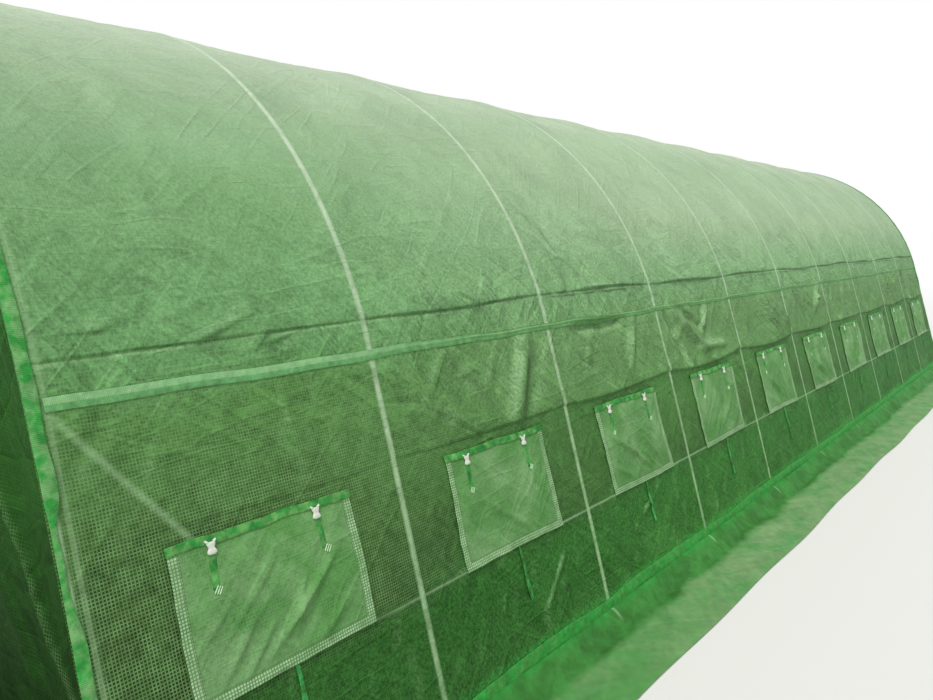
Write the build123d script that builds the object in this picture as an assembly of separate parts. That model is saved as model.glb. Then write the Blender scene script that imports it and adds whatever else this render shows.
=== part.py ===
from build123d import *
import math
import os

# Polytunnel greenhouse: steel hoops carry a reinforced film cover with a row of window flaps down each side.
# X runs along the tunnel from the front end to the back end, the right side is at minus Y, and Z is up.
# The origin is on the ground in the middle of the tunnel. Sizes are in millimetres and angles in degrees.

# The tunnel
bay_length = 1000.0
bay_count = 10
tunnel_width = 4000.0
ridge_height = 2400.0
shoulder_height = 1204.0
leg_lean = 17.3
shoulder_bend = 40.0

# Sheets and the gap at which one piece rests on the next
cover_thickness = 3.0
seat_gap = 0.3

# Steel frame. Tubes have flat faces, and a hoop bends over the bow in even steps, to keep the facets few.
tube_faces = 8
bow_steps = 36
hoop_tube = 25.0
purlin_tube = 20.0
brace_tube = 20.0
foot_iron_length = 90.0
foot_iron_width = 22.0
foot_iron_thickness = 4.0
upper_purlin_rise = 130.0
lower_purlin_rise = 488.0
brace_top_rise = 1235.0
brace_foot_rise = 75.0

# Doorways
door_width = 1100.0
door_height = 1850.0
door_roll_diameter = 120.0

# Windows, placed along the slope of the wall
window_width = 575.0
window_height = 400.0
window_sill_rise = 480.0
window_shift = 10.0
window_hem = 26.0
window_net_thickness = 1.5
window_band_height = 24.0
window_band_thickness = 2.0

# Buckles and ties on the windows
buckle_spacing = 335.0
buckle_width = 24.0
buckle_length = 48.0
buckle_thickness = 8.0
tie_width = 16.0
tie_length = 225.0
tie_thickness = 2.0

# Sewn bands and the ground skirt
waist_tape_width = 38.0
corner_trim_width = 40.0
foot_band_width = 48.0
foot_band_rise = 62.0
skirt_width = 320.0
skirt_thickness = 3.0
skirt_flare = 75.0

# The arch: a leaning leg, a shoulder arc that turns by the shoulder bend, then the crown arc over the ridge.
# Each runs tangent into the next. The two radii solve two linear equations, one for the width and one for
# the height between the shoulder and the ridge.
lean_angle = math.radians(leg_lean)
bend_angle = math.radians(leg_lean + shoulder_bend)
lean = math.tan(lean_angle)
lean_cos = math.cos(lean_angle)
lean_sin = math.sin(lean_angle)
bend_cos = math.cos(bend_angle)
bend_sin = math.sin(bend_angle)
half_width = tunnel_width / 2
shoulder_reach = half_width - lean * shoulder_height
crown_rise = ridge_height - shoulder_height
solver = bend_cos * (bend_sin - lean_sin) - (lean_cos - bend_cos) * (1 - bend_sin)
shoulder_radius = (crown_rise * bend_cos - shoulder_reach * (1 - bend_sin)) / solver
crown_radius = (shoulder_reach * (bend_sin - lean_sin) - crown_rise * (lean_cos - bend_cos)) / solver
shoulder_centre = (shoulder_reach - shoulder_radius * lean_cos, shoulder_height - shoulder_radius * lean_sin)
crown_centre = ridge_height - crown_radius
shoulder_rise = shoulder_height / lean_cos

# Layers counted inward from the outer face of the cover, and the faces at the ends
tube_face_depth = cover_thickness + seat_gap
hoop_depth = tube_face_depth + hoop_tube / 2
purlin_depth = tube_face_depth + purlin_tube / 2
brace_depth = hoop_depth + hoop_tube / 2 + seat_gap + brace_tube / 2
frame_half_length = bay_length * bay_count / 2
wall_face = frame_half_length + hoop_tube / 2 + seat_gap
cover_half_length = wall_face + cover_thickness
trim_inner_face = cover_half_length - corner_trim_width

# The right wall's own plane: X along the tunnel, Y up the slope from the ground, Z outward from the cover
right_wall = Plane(origin=(0, -half_width, 0), x_dir=(1, 0, 0), z_dir=(0, -lean_cos, lean_sin))
tall = 2 * ridge_height


def leg_half_width(depth, height):
    """Half the width between the straight legs, at a height, for a layer at a depth inside the cover."""
    return half_width - lean * height - depth / lean_cos


def leg_point(depth, rise):
    """The point on the right wall at a rise up the slope from the ground, for a layer at a depth."""
    return (-half_width + rise * lean_sin + depth * lean_cos, rise * lean_cos - depth * lean_sin)


def bow_point(depth, angle):
    """The point on the right of the bow where it has turned to an angle, for a layer at a depth."""
    if angle <= bend_angle:
        centre = (-shoulder_centre[0], shoulder_centre[1])
        radius = shoulder_radius - depth
    else:
        centre = (0, crown_centre)
        radius = crown_radius - depth
    return (centre[0] - radius * math.cos(angle), centre[1] + radius * math.sin(angle))


def opposite(point):
    """The same point of the arch on the left."""
    return (-point[0], point[1])


def bow_edges(depth):
    """The bow in one layer: the right shoulder arc, the crown arc and the left shoulder arc."""
    low = bow_point(depth, lean_angle)
    middle = bow_point(depth, (lean_angle + bend_angle) / 2)
    high = bow_point(depth, bend_angle)
    return [
        ThreePointArc(low, middle, high),
        ThreePointArc(high, (0, ridge_height - depth), opposite(high)),
        ThreePointArc(opposite(high), opposite(middle), opposite(low)),
    ]


def arch_edges(depth, floor):
    """The whole arch in one layer, a leg and its foot on each side of the bow."""
    foot = (-leg_half_width(depth, floor), floor)
    shoulder = bow_point(depth, lean_angle)
    return [Line(foot, shoulder), *bow_edges(depth), Line(opposite(shoulder), opposite(foot))]


def arch_outline(depth, floor):
    """The closed face of the arch at a depth inside the cover, standing on a floor height."""
    foot = leg_half_width(depth, floor)
    return Plane.YZ * make_face([*arch_edges(depth, floor), Line((foot, floor), (-foot, floor))])


def arch_sheet(outer_depth, inner_depth, length, floor):
    """A sheet that follows the whole arch, from ground to ground, with its middle at X zero."""
    outer = extrude(arch_outline(outer_depth, floor), amount=length / 2, both=True)
    inner = extrude(arch_outline(inner_depth, floor), amount=length, both=True)
    hollow_below = Pos(0, 0, floor - tall / 2) * Box(2 * length, tall, tall)
    return outer - inner - hollow_below


def wall_box(x, rise, low, high, length, height):
    """A flat block on the right wall: centre along X and up the slope, low and high faces outward."""
    return right_wall * Pos(x, rise, (low + high) / 2) * Box(length, height, high - low)


def other_side(piece):
    """The same piece on the left side of the tunnel."""
    return mirror(piece, about=Plane.XZ)


def both_sides(pieces):
    return pieces + [other_side(piece) for piece in pieces]


def bay_middles():
    return [(bay + 0.5) * bay_length - frame_half_length for bay in range(bay_count)]


def hoop_places():
    return [bay * bay_length - frame_half_length for bay in range(bay_count + 1)]


def save(name, pieces):
    export_step(Compound(children=list(pieces)), f"parts/{name}.step")


def tube_section(diameter):
    """A tube's section with one flat face on each side, so that opposite faces are a diameter apart."""
    return RegularPolygon(diameter / 2, tube_faces, major_radius=False, rotation=180 / tube_faces)


def tube_between(start, end, diameter, facing):
    """A tube between two points, with one of its flat faces turned to the facing direction."""
    span = Vector(*end) - Vector(*start)
    section = Plane(origin=start, x_dir=facing, z_dir=span) * tube_section(diameter)
    return extrude(section, amount=span.length)


def hoop_corners(depth, floor):
    """The corners of a hoop in one layer: the right foot, even steps over the bow, and the left foot."""
    steps_to_ridge = bow_steps // 2
    step_angle = (math.pi / 2 - lean_angle) / steps_to_ridge
    right = [(-leg_half_width(depth, floor), floor)]
    for step in range(steps_to_ridge + 1):
        right.append(bow_point(depth, lean_angle + step * step_angle))
    return right + [opposite(corner) for corner in reversed(right[:-1])]


def hoop():
    """One hoop at X zero: two leaning legs, the bow between them and a foot iron under each leg."""
    sunk = -hoop_tube
    corners = hoop_corners(hoop_depth, sunk)
    start = Plane(origin=(0, *corners[0]), x_dir=(1, 0, 0), z_dir=(0, lean_sin, lean_cos))
    path = Plane.YZ * Polyline(*corners)
    bow = sweep(start * tube_section(hoop_tube), path=path, transition=Transition.RIGHT)
    bow -= Pos(0, 0, -tall / 2) * Box(tall, tall, tall)
    iron_edge = leg_half_width(tube_face_depth, foot_iron_thickness) - seat_gap
    iron_middle = iron_edge - foot_iron_length / 2
    iron = Pos(0, -iron_middle, foot_iron_thickness / 2)
    iron = iron * Box(foot_iron_width, foot_iron_length, foot_iron_thickness)
    return bow + iron + other_side(iron)


def outward(angle):
    """The direction out of the cover on the right, where the arch has turned to an angle."""
    return (0, -math.cos(angle), math.sin(angle))


def purlin(place, angle):
    """A row of straight tubes from hoop to hoop, through one point of the arch."""
    reach = bay_length - hoop_tube - 2 * seat_gap
    tubes = []
    for middle in bay_middles():
        start = (middle - reach / 2, place[0], place[1])
        end = (middle + reach / 2, place[0], place[1])
        tubes.append(tube_between(start, end, purlin_tube, outward(angle)))
    return tubes


def upper_purlin():
    """The purlin on the right at a rise above the shoulder, along the cover."""
    angle = lean_angle + upper_purlin_rise / shoulder_radius
    return purlin(bow_point(purlin_depth, angle), angle)


def front_brace():
    """The diagonal tube inside the right wall, from the front hoop's shoulder to the next hoop's foot."""
    top = leg_point(brace_depth, brace_top_rise)
    foot = leg_point(brace_depth, brace_foot_rise)
    start = (-frame_half_length, top[0], top[1])
    end = (-frame_half_length + bay_length, foot[0], foot[1])
    return tube_between(start, end, brace_tube, outward(lean_angle))


def at_back(piece):
    """The same piece at the back end of the tunnel."""
    return mirror(piece, about=Plane.YZ)


def front_door_frame():
    """Two posts and a head tube in the plane of the front hoop, with a foot iron under each post."""
    post_place = (door_width + hoop_tube) / 2
    head_place = door_height + purlin_tube / 2
    along = (1, 0, 0)
    post = tube_between((0, -post_place, 0), (0, -post_place, ridge_height), hoop_tube, along)
    head = tube_between((0, -post_place, head_place), (0, post_place, head_place), purlin_tube, along)
    iron = Pos(0, -post_place, foot_iron_thickness / 2)
    iron = iron * Box(foot_iron_width, foot_iron_length, foot_iron_thickness)
    frame = post + other_side(post) + head + iron + other_side(iron)
    under_hoop = hoop_corners(hoop_depth + hoop_tube / 2 + seat_gap, 0)
    opening = Plane.YZ * make_face(Polyline(*under_hoop, close=True))
    frame &= extrude(opening, amount=hoop_tube, both=True)
    return Pos(-frame_half_length, 0, 0) * frame


def roof_film():
    """The upper cover, one sheet bent over the bow from shoulder to shoulder."""
    outer = bow_point(0, lean_angle)
    inner = bow_point(cover_thickness, lean_angle)
    hems = [Line(outer, inner), Line(opposite(outer), opposite(inner))]
    section = Plane.YZ * make_face([*bow_edges(0), *bow_edges(cover_thickness), *hems])
    return extrude(section, amount=cover_half_length, both=True)


def side_film():
    """The right wall's sheet, leaning inward from the ground to the shoulder, cut out behind each window."""
    top = shoulder_rise - seat_gap
    corners = [
        (-half_width, 0),
        leg_point(0, top),
        leg_point(cover_thickness, top),
        (-leg_half_width(cover_thickness, 0), 0),
    ]
    section = Plane.YZ * make_face(Polyline(*corners, close=True))
    sheet = extrude(section, amount=cover_half_length, both=True)
    for middle in bay_middles():
        sheet -= window_block(middle, -tall / 10, tall / 10, window_hem)
    return sheet


def window_block(middle, low, high, inset):
    """The block of one window, between two faces, smaller all round by an inset."""
    rise = window_sill_rise + window_height / 2
    width = window_width - 2 * inset
    height = window_height - 2 * inset
    return wall_box(middle + window_shift, rise, low, high, width, height)


def window_nets():
    middle_depth = -cover_thickness / 2
    low = middle_depth - window_net_thickness / 2
    high = middle_depth + window_net_thickness / 2
    return [window_block(middle, low, high, window_hem + seat_gap) for middle in bay_middles()]


def window_flaps():
    return [window_block(middle, seat_gap, seat_gap + cover_thickness, 0) for middle in bay_middles()]


# What is sewn on a flap starts at this height over the cover
flap_top_face = 2 * seat_gap + cover_thickness


def window_bands():
    rise = window_sill_rise + window_height - window_band_height / 2
    high = flap_top_face + window_band_thickness
    bands = []
    for middle in bay_middles():
        x = middle + window_shift
        bands.append(wall_box(x, rise, flap_top_face, high, window_width, window_band_height))
    return bands


def window_buckles():
    """Two side release buckles a window, just under its top band, with rounded ends."""
    rise = window_sill_rise + window_height - window_band_height - seat_gap - buckle_length / 2
    high = flap_top_face + buckle_thickness
    buckles = []
    for middle in bay_middles():
        for side in (-1, 1):
            x = middle + window_shift + side * buckle_spacing / 2
            buckles.append(wall_box(x, rise, flap_top_face, high, buckle_width, buckle_length))
    return buckles


def window_ties():
    """A ribbon below the middle of each window, lying against the wall."""
    rise = window_sill_rise - seat_gap - tie_length / 2
    high = seat_gap + tie_thickness
    ties = []
    for middle in bay_middles():
        ties.append(wall_box(middle + window_shift, rise, seat_gap, high, tie_width, tie_length))
    return ties


def waist_tape():
    """The tape over the seam at the shoulder, between the corner trims."""
    length = 2 * (trim_inner_face - seat_gap)
    return wall_box(0, shoulder_rise, seat_gap, seat_gap + cover_thickness, length, waist_tape_width)


def foot_band():
    """The folded band near the foot of the wall, between the corner trims."""
    length = 2 * (trim_inner_face - seat_gap)
    rise = foot_band_rise + foot_band_width / 2
    return wall_box(0, rise, seat_gap, seat_gap + cover_thickness, length, foot_band_width)


def front_corner_trim():
    """The band over the front edge of the cover, from skirt to skirt."""
    floor = skirt_thickness + seat_gap
    band = arch_sheet(-seat_gap - cover_thickness, -seat_gap, corner_trim_width, floor)
    return Pos(-cover_half_length + corner_trim_width / 2, 0, 0) * band


def side_skirt():
    """The film that slopes out from under the right foot band, and the strip on the ground beyond it."""
    top_rise = foot_band_rise - seat_gap
    outer = -half_width - seat_gap - skirt_width
    bend = -half_width - skirt_flare
    corners = [
        leg_point(-seat_gap, top_rise),
        leg_point(-seat_gap - skirt_thickness, top_rise),
        (bend, skirt_thickness),
        (bend, 0),
        (bend + skirt_thickness, 0),
    ]
    section = Plane.YZ * make_face(Polyline(*corners, close=True))
    slope = extrude(section, amount=trim_inner_face - seat_gap, both=True)
    inner = bend - seat_gap
    strip = Box(2 * cover_half_length, inner - outer, skirt_thickness)
    return [slope, Pos(0, (outer + inner) / 2, skirt_thickness / 2) * strip]


def front_skirt():
    """The strips laid outward on the ground in front of the end wall, one each side of the doorway."""
    inner = -cover_half_length - seat_gap
    length = half_width - door_width / 2
    middle = door_width / 2 + length / 2
    strip = Box(skirt_width, length, skirt_thickness)
    return both_sides([Pos(inner - skirt_width / 2, -middle, skirt_thickness / 2) * strip])


def front_wall_panels():
    """The end wall in the order right, left, over the doorway."""
    outline = arch_outline(cover_thickness + seat_gap, 0)
    sheet = Pos(-cover_half_length, 0, 0) * extrude(outline, amount=cover_thickness)
    beside = Pos(-cover_half_length, -door_width / 2 - half_width, 0) * Box(tall, tunnel_width, 2 * tall)
    over_low = door_height + tall / 2
    over = Pos(-cover_half_length, 0, over_low) * Box(tall, door_width - 2 * seat_gap, tall)
    right = sheet & beside
    return right, other_side(right), sheet & over


def closed_back_door():
    """The back door sheet, zipped into the doorway."""
    width = door_width - 2 * seat_gap
    height = door_height - seat_gap
    x = wall_face + cover_thickness / 2
    return Pos(x, 0, height / 2) * Box(cover_thickness, width, height)


def rolled_front_door():
    """The front door sheet, rolled up and held over the doorway."""
    x = -cover_half_length - seat_gap - door_roll_diameter / 2
    z = door_height + door_roll_diameter / 2
    roll = Plane(origin=(x, 0, z), z_dir=(0, 1, 0)) * Circle(door_roll_diameter / 2)
    return extrude(roll, amount=door_width / 2, both=True)


def main():
    os.makedirs("parts", exist_ok=True)

    one_hoop = hoop()
    for number, x in enumerate(hoop_places()):
        save(f"hoop_{number:02d}", [Pos(x, 0, 0) * one_hoop])

    save("ridge_purlin", purlin((0, ridge_height - purlin_depth), math.pi / 2))
    save("upper_purlins", both_sides(upper_purlin()))
    save("lower_purlins", both_sides(purlin(leg_point(purlin_depth, lower_purlin_rise), lean_angle)))
    braces = both_sides([front_brace()])
    save("braces_front", braces)
    save("braces_back", [at_back(brace) for brace in braces])
    save("door_frame_front", [front_door_frame()])
    save("door_frame_back", [at_back(front_door_frame())])

    save("roof_film", [roof_film()])
    save("side_film_right", [side_film()])
    save("side_film_left", [other_side(side_film())])
    for name, panel in zip(("right", "left", "over_door"), front_wall_panels()):
        save(f"front_wall_{name}", [panel])
        save(f"back_wall_{name}", [at_back(panel)])
    save("front_door", [rolled_front_door()])
    save("back_door", [closed_back_door()])

    save("window_nets_right", window_nets())
    save("window_nets_left", [other_side(net) for net in window_nets()])
    save("window_flaps_right", window_flaps())
    save("window_flaps_left", [other_side(flap) for flap in window_flaps()])
    save("window_bands", both_sides(window_bands()))
    save("window_buckles", both_sides(window_buckles()))
    save("window_ties", both_sides(window_ties()))

    save("waist_tapes", both_sides([waist_tape()]))
    save("foot_bands", both_sides([foot_band()]))
    save("corner_trim_front", [front_corner_trim()])
    save("corner_trim_back", [at_back(front_corner_trim())])
    save("skirt_right", side_skirt())
    save("skirt_left", [other_side(piece) for piece in side_skirt()])
    save("skirt_front", front_skirt())
    save("skirt_back", [at_back(strip) for strip in front_skirt()])


main()
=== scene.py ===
import math

import bpy
import numpy as np
from mathutils import Matrix, Vector


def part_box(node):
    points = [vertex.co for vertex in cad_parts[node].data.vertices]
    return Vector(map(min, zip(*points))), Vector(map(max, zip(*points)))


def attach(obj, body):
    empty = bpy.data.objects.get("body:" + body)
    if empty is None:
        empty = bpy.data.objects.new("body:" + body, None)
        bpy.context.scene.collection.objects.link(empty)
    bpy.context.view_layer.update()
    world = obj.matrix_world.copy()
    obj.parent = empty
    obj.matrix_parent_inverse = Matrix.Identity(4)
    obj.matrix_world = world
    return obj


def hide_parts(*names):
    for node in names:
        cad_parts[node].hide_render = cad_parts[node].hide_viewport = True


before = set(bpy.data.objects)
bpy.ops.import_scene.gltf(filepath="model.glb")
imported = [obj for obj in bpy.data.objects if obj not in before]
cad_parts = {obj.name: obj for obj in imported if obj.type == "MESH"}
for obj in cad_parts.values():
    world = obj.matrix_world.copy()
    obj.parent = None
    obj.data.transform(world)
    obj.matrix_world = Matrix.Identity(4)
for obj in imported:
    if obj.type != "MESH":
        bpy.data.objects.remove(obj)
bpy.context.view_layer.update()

bl_info = {
    "name": "Polytunnel greenhouse",
    "version": (1, 0, 0),
    "blender": (4, 5, 0),
    "location": "View3D > Sidebar > Polytunnel",
    "description": "Dresses the packed tunnel with its film, flaps, buckles, tapes, tubes and stage",
    "category": "Object",
}

# X runs along the tunnel from the front end, the photographed right side is at minus Y, and Z is up.
# A spot on the cover is given by its place along the tunnel, in metres from the front hoop, and its run:
# the length of a line laid over the cover, at right angles to the tunnel, from the foot of the right wall.
ROOF_LOW, ROOF_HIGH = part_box("roof_film")
FRONT_HOOP_LOW, FRONT_HOOP_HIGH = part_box("hoop_00")
SECOND_HOOP_LOW, SECOND_HOOP_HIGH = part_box("hoop_01")
TRIM_LOW, TRIM_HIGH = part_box("corner_trim_front")
DOOR_LOW, DOOR_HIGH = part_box("front_wall_over_door")
ROLL_LOW, ROLL_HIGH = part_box("front_door")

# The legs' lean, the lean where the shoulder ends, the solids' film, and the gap between things that seat
LEAN = math.radians(17.3)
BEND = LEAN + math.radians(40.0)
FILM = 0.003
SEAT = 0.0003
BAYS = 10
FRONT = (FRONT_HOOP_LOW.x + FRONT_HOOP_HIGH.x) / 2
BAY = (SECOND_HOOP_LOW.x + SECOND_HOOP_HIGH.x) / 2 - FRONT
TUNNEL = BAYS * BAY
END = ROOF_HIGH.x
HALF_WIDTH = -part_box("side_film_right")[0].y
RIDGE = ROOF_HIGH.z
SHOULDER = ROOF_LOW.z + FILM * math.sin(LEAN)

# The arch's two radii solve one equation for its width and one for its height over the shoulder
REACH = HALF_WIDTH - math.tan(LEAN) * SHOULDER
ARCH_SYSTEM = np.array([
    [math.cos(LEAN) - math.cos(BEND), math.cos(BEND)],
    [math.sin(BEND) - math.sin(LEAN), 1 - math.sin(BEND)],
])
SHOULDER_RADIUS, CROWN_RADIUS = np.linalg.solve(ARCH_SYSTEM, [REACH, RIDGE - SHOULDER])
WAIST_RUN = SHOULDER / math.cos(LEAN)
BEND_RUN = WAIST_RUN + SHOULDER_RADIUS * (BEND - LEAN)
RIDGE_RUN = BEND_RUN + CROWN_RADIUS * (math.pi / 2 - BEND)

# Where the purlins and the brace run, the tubes' radii, and how far a cut-out and its net lie inside a flap
LOW_PURLIN_RUN, HIGH_PURLIN_RUN = 0.488, 1.391
BRACE_TOP, BRACE_DROP = 1.235, 1.160
HOOP_RADIUS = (FRONT_HOOP_HIGH.x - FRONT_HOOP_LOW.x) / 2
PURLIN_RADIUS = 0.010
CUT_INSET, NET_INSET = 0.026, 0.0263
ENDS = ("front", "back")
SIDES = ((False, "right"), (True, "left"))


def linear(code):
    """The linear red, green and blue of an sRGB hex colour."""
    shares = [int(code[i:i + 2], 16) / 255 for i in (1, 3, 5)]
    return [c / 12.92 if c <= 0.04045 else ((c + 0.055) / 1.055) ** 2.4 for c in shares]


def length(name, description, default):
    return bpy.props.FloatProperty(
        name=name, description=description, default=default, unit="LENGTH", precision=4)


def colour(name, description, code):
    return bpy.props.FloatVectorProperty(
        name=name, description=description, default=linear(code), min=0.0, max=1.0, subtype="COLOR")


class TunnelSizes(bpy.types.PropertyGroup):
    """The sizes of the film's forms and the sewn and moulded pieces, in metres."""
    hoop_tube: length("Hoop tube", "Outside diameter of the hoop tubes", 0.025)
    purlin_tube: length("Purlin tube", "Outside diameter of the purlin and brace tubes", 0.020)
    wall_sag: length("Wall sag", "How far the wall's film hangs in between two hoops", 0.007)
    crown_sag: length("Crown sag", "How far the roof's film hangs in between two hoops", 0.014)
    billow: length("Billow", "How far the roof's film swells over the upper purlin", 0.015)
    swag: length("Swag", "How far the wall's film swells over the row of windows", 0.018)
    thread_pitch: length("Thread pitch", "Spacing of the film's reinforcing threads", 0.0085)
    tape_width: length("Waist tape", "Width of the tape over the waist seam", 0.034)
    trim_width: length("Corner trim", "Width of the band round the end of the cover", 0.040)
    band_width: length("Foot band", "Width of the folded band near the ground", 0.048)
    band_rise: length("Foot band rise", "Run from the ground to the foot band", 0.062)
    skirt_width: length("Skirt", "Width of the skirt on the ground", 0.320)
    skirt_flare: length("Skirt flare", "How far out the side skirts reach the ground", 0.075)
    window_width: length("Window width", "Width of a window flap", 0.575)
    window_height: length("Window height", "Height of a window flap, up the slope", 0.400)
    window_sill: length("Window sill", "Run from the ground to a flap's lower edge", 0.480)
    window_shift: length("Window shift", "How far a window is off the middle of its bay", 0.010)
    hem_width: length("Flap hem", "Width of a flap's hem", 0.028)
    band_height: length("Flap band", "Height of the band along a flap's top", 0.024)
    buckle_spacing: length("Buckle spacing", "Distance between a window's two buckles", 0.335)
    buckle_width: length("Buckle width", "Width of a buckle over its horns", 0.030)
    buckle_length: length("Buckle length", "Length of a buckle", 0.037)
    tie_width: length("Tie width", "Width of the ribbon under a window", 0.021)
    tie_length: length("Tie length", "Length of the ribbon under a window", 0.225)


class TunnelColours(bpy.types.PropertyGroup):
    """The colours of the film, the sewn tapes, the plastic and the tubes."""
    # Painted shade and light: the film colours from the foot to the crown are darker low down and paler high
    # up, standing in for the shade near the soil and the sky light at the crown
    film_foot: colour("Film, foot", "Film near the ground, with the dark soil behind it", "#33652A")
    film_low: colour("Film, low", "Film below the windows", "#387030")
    film_window: colour("Film, windows", "Film between the windows", "#365E2A")
    film_waist: colour("Film, waist", "Film under the waist seam", "#659A54")
    film_shoulder: colour("Film, shoulder", "Film over the waist seam", "#7AB172")
    film_upper: colour("Film, upper", "Film half way up the roof", "#92BF89")
    film_crown: colour("Film, crown", "Film near the ridge, with the sky behind it", "#D0E2C6")
    # Painted shade: the end walls' film is dark where it faces the dark tunnel, darkest near the ground
    film_end: colour("Film, end wall", "Film of the end walls", "#3A7530")
    film_end_low: colour("Film, end wall, low", "Film of the end walls near the ground", "#0B2305")
    # Painted sky sheen that lightens the film farther back
    film_far_sheen: colour("Film, far", "Roof film farther back, where it is stretched and whitened", "#C0DAB4")
    thread: colour("Thread", "Pale reinforcing threads", "#86B674")
    # Pale lines where the film lies on a tube, also used as the painted highlight on folds that lean toward
    # the light and on the lip under the upper swell
    contact_and_highlight: colour("Contact", "Film that lies on a tube", "#B8E0AA")
    hoop_line: colour("Contact, roof", "Roof film that lies on a hoop", "#E6F8DC")
    flap: colour("Flap", "Film of the window flaps", "#609E54")
    # Pale cloudy patches laid at random over the flap film
    flap_pale: colour("Flap, rubbed", "Film of the window flaps where it is rubbed pale", "#96C488")
    skirt_fold: colour("Skirt, fold", "Skirt where it leaves the wall", "#478C42")
    hem: colour("Hem", "Doubled film of a flap's hem", "#CDEFC0")
    band: colour("Flap band", "Woven band along a flap's top", "#35883D")
    tape: colour("Tape", "Woven waist tape", "#66A164")
    # The tape farther back, where it sinks into the film, darker partly with painted shadow of its bunched
    # folds
    tape_far_shaded: colour("Waist tape farther back", "Tape where it sinks into the film", "#518548")
    tape_edge: colour("Tape edge", "Sewn upper edge of the waist tape", "#A8D29C")
    trim: colour("Corner trim", "Woven trim round the ends", "#6BA062")
    foot_band: colour("Foot band", "Folded band near the ground", "#369440")
    skirt_inner: colour("Skirt, inner", "Skirt near the wall, dulled with dust", "#7B9F6A")
    skirt_outer: colour("Skirt, outer", "Skirt near its outer edge", "#5A9656")
    soil_tint: colour("Soil tint", "Soil that shows faintly through the film", "#37411C")
    buckle: colour("Buckle", "Moulded buckles", "#DDE3D6")
    buckle_haze: colour("Buckle haze", "Soil haze on the buckles", "#B9BFA8")
    ribbon: colour("Ribbon", "Woven tie ribbons and straps", "#3E9A52")
    zinc: colour("Zinc", "Zinc coat of the tubes", "#C3C6C4")
    floor: colour("Floor", "Studio floor", "#E4E3DF")


def sizes():
    return bpy.context.scene.tunnel_sizes


def colours():
    return bpy.context.scene.tunnel_colours


# Small sums that the shapes share

def stacked(*parts):
    """Arrays brought to one size and stacked along a new last axis, such as the x, y and z of points."""
    return np.stack(np.broadcast_arrays(*parts), -1)


def matched(place, run):
    """A place and a run as two arrays of one size."""
    return np.broadcast_arrays(np.asarray(place, float), np.asarray(run, float))


def from_foot(run):
    """The run counted from the nearer foot of the arch."""
    return np.minimum(run, 2 * RIDGE_RUN - run)


def run_on(near, left):
    """The run of what lies a distance up from the foot of the right wall, or of the left one."""
    return 2 * RIDGE_RUN - near if left else near


def foot_to_foot(near):
    """Runs up to the ridge, carried on down to the other foot."""
    return np.concatenate([near, 2 * RIDGE_RUN - near[-2::-1]])


def angles(count, shift=0.0):
    """Even angles round a circle, shifted by a share of their step."""
    return np.linspace(0, 2 * math.pi, count, endpoint=False) + shift * 2 * math.pi / count


def squared(wave, power):
    """A sine or cosine drawn toward a square wave: its sign times a low power of its size."""
    return np.sign(wave) * np.abs(wave) ** power


def unit(vectors):
    """Rows of vectors, each brought to length 1."""
    return vectors / np.linalg.norm(vectors, axis=1, keepdims=True)


def travelled(path):
    """The distance along a path to each of its points."""
    return np.concatenate([[0], np.cumsum(np.linalg.norm(np.diff(path, axis=0), axis=1))])


# Shapes: a shape is its points, its face corners and a flat place in metres for every point

def arch(run):
    """Place and outward direction in the arch's plane at a run from the right foot.

    The leg is a straight line that leans inward. The shoulder arc and the crown arc follow, each tangent to
    the last, with the run over the radius as the angle turned. The left half is the right half mirrored.
    """
    run = np.asarray(run, float)
    near = from_foot(run)
    side = np.where(run <= RIDGE_RUN, -1.0, 1.0)
    shoulder_angle = LEAN + (near - WAIST_RUN) / SHOULDER_RADIUS
    crown_angle = BEND + (near - BEND_RUN) / CROWN_RADIUS
    angle = np.where(near < WAIST_RUN, LEAN, np.where(near < BEND_RUN, shoulder_angle, crown_angle))
    leg = (HALF_WIDTH - near * math.sin(LEAN), near * math.cos(LEAN))
    shoulder_y = REACH - SHOULDER_RADIUS * (math.cos(LEAN) - np.cos(angle))
    shoulder_z = SHOULDER + SHOULDER_RADIUS * (np.sin(angle) - math.sin(LEAN))
    crown = (CROWN_RADIUS * np.cos(angle), RIDGE - CROWN_RADIUS * (1 - np.sin(angle)))
    y = np.where(near < WAIST_RUN, leg[0], np.where(near < BEND_RUN, shoulder_y, crown[0]))
    z = np.where(near < WAIST_RUN, leg[1], np.where(near < BEND_RUN, shoulder_z, crown[1]))
    return side * y, z, side * np.cos(angle), np.sin(angle)


def on_cover(place, run, lift):
    """Points over the smooth arch: its place at a run, moved out along its outward direction by a lift."""
    y, z, out_y, out_z = arch(run)
    return stacked(FRONT + place, y + out_y * lift, z + out_z * lift)


def chance(*keys):
    """A steady value from 0 to 1 for whole-number keys: the fraction of a large multiple of a sine."""
    total = sum(np.asarray(key, float) * step for key, step in zip(keys, (12.9898, 78.233, 37.719)))
    value = np.sin(total) * 43758.5453
    return value - np.floor(value)


def waves(a, b, scale, seed, layers=4):
    """Smooth uneven waves over two coordinates, about -1 to 1: sines of growing pitch at odd directions."""
    total = np.zeros(np.broadcast(a, b).shape)
    for layer in range(layers):
        turn = 2.4 * layer + 1.7 * seed
        pitch = 2 * math.pi / scale * 1.45 ** layer
        phase = 2.1 * seed + 1.3 * layer
        cosine, sine = np.cos(turn), np.sin(turn)
        bend = 0.7 * np.sin(pitch * 0.37 * (a * sine - b * cosine) + phase)
        total = total + np.sin(pitch * (a * cosine + b * sine) + bend + phase) / (1 + 0.6 * layer)
    return total / 2.2


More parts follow.
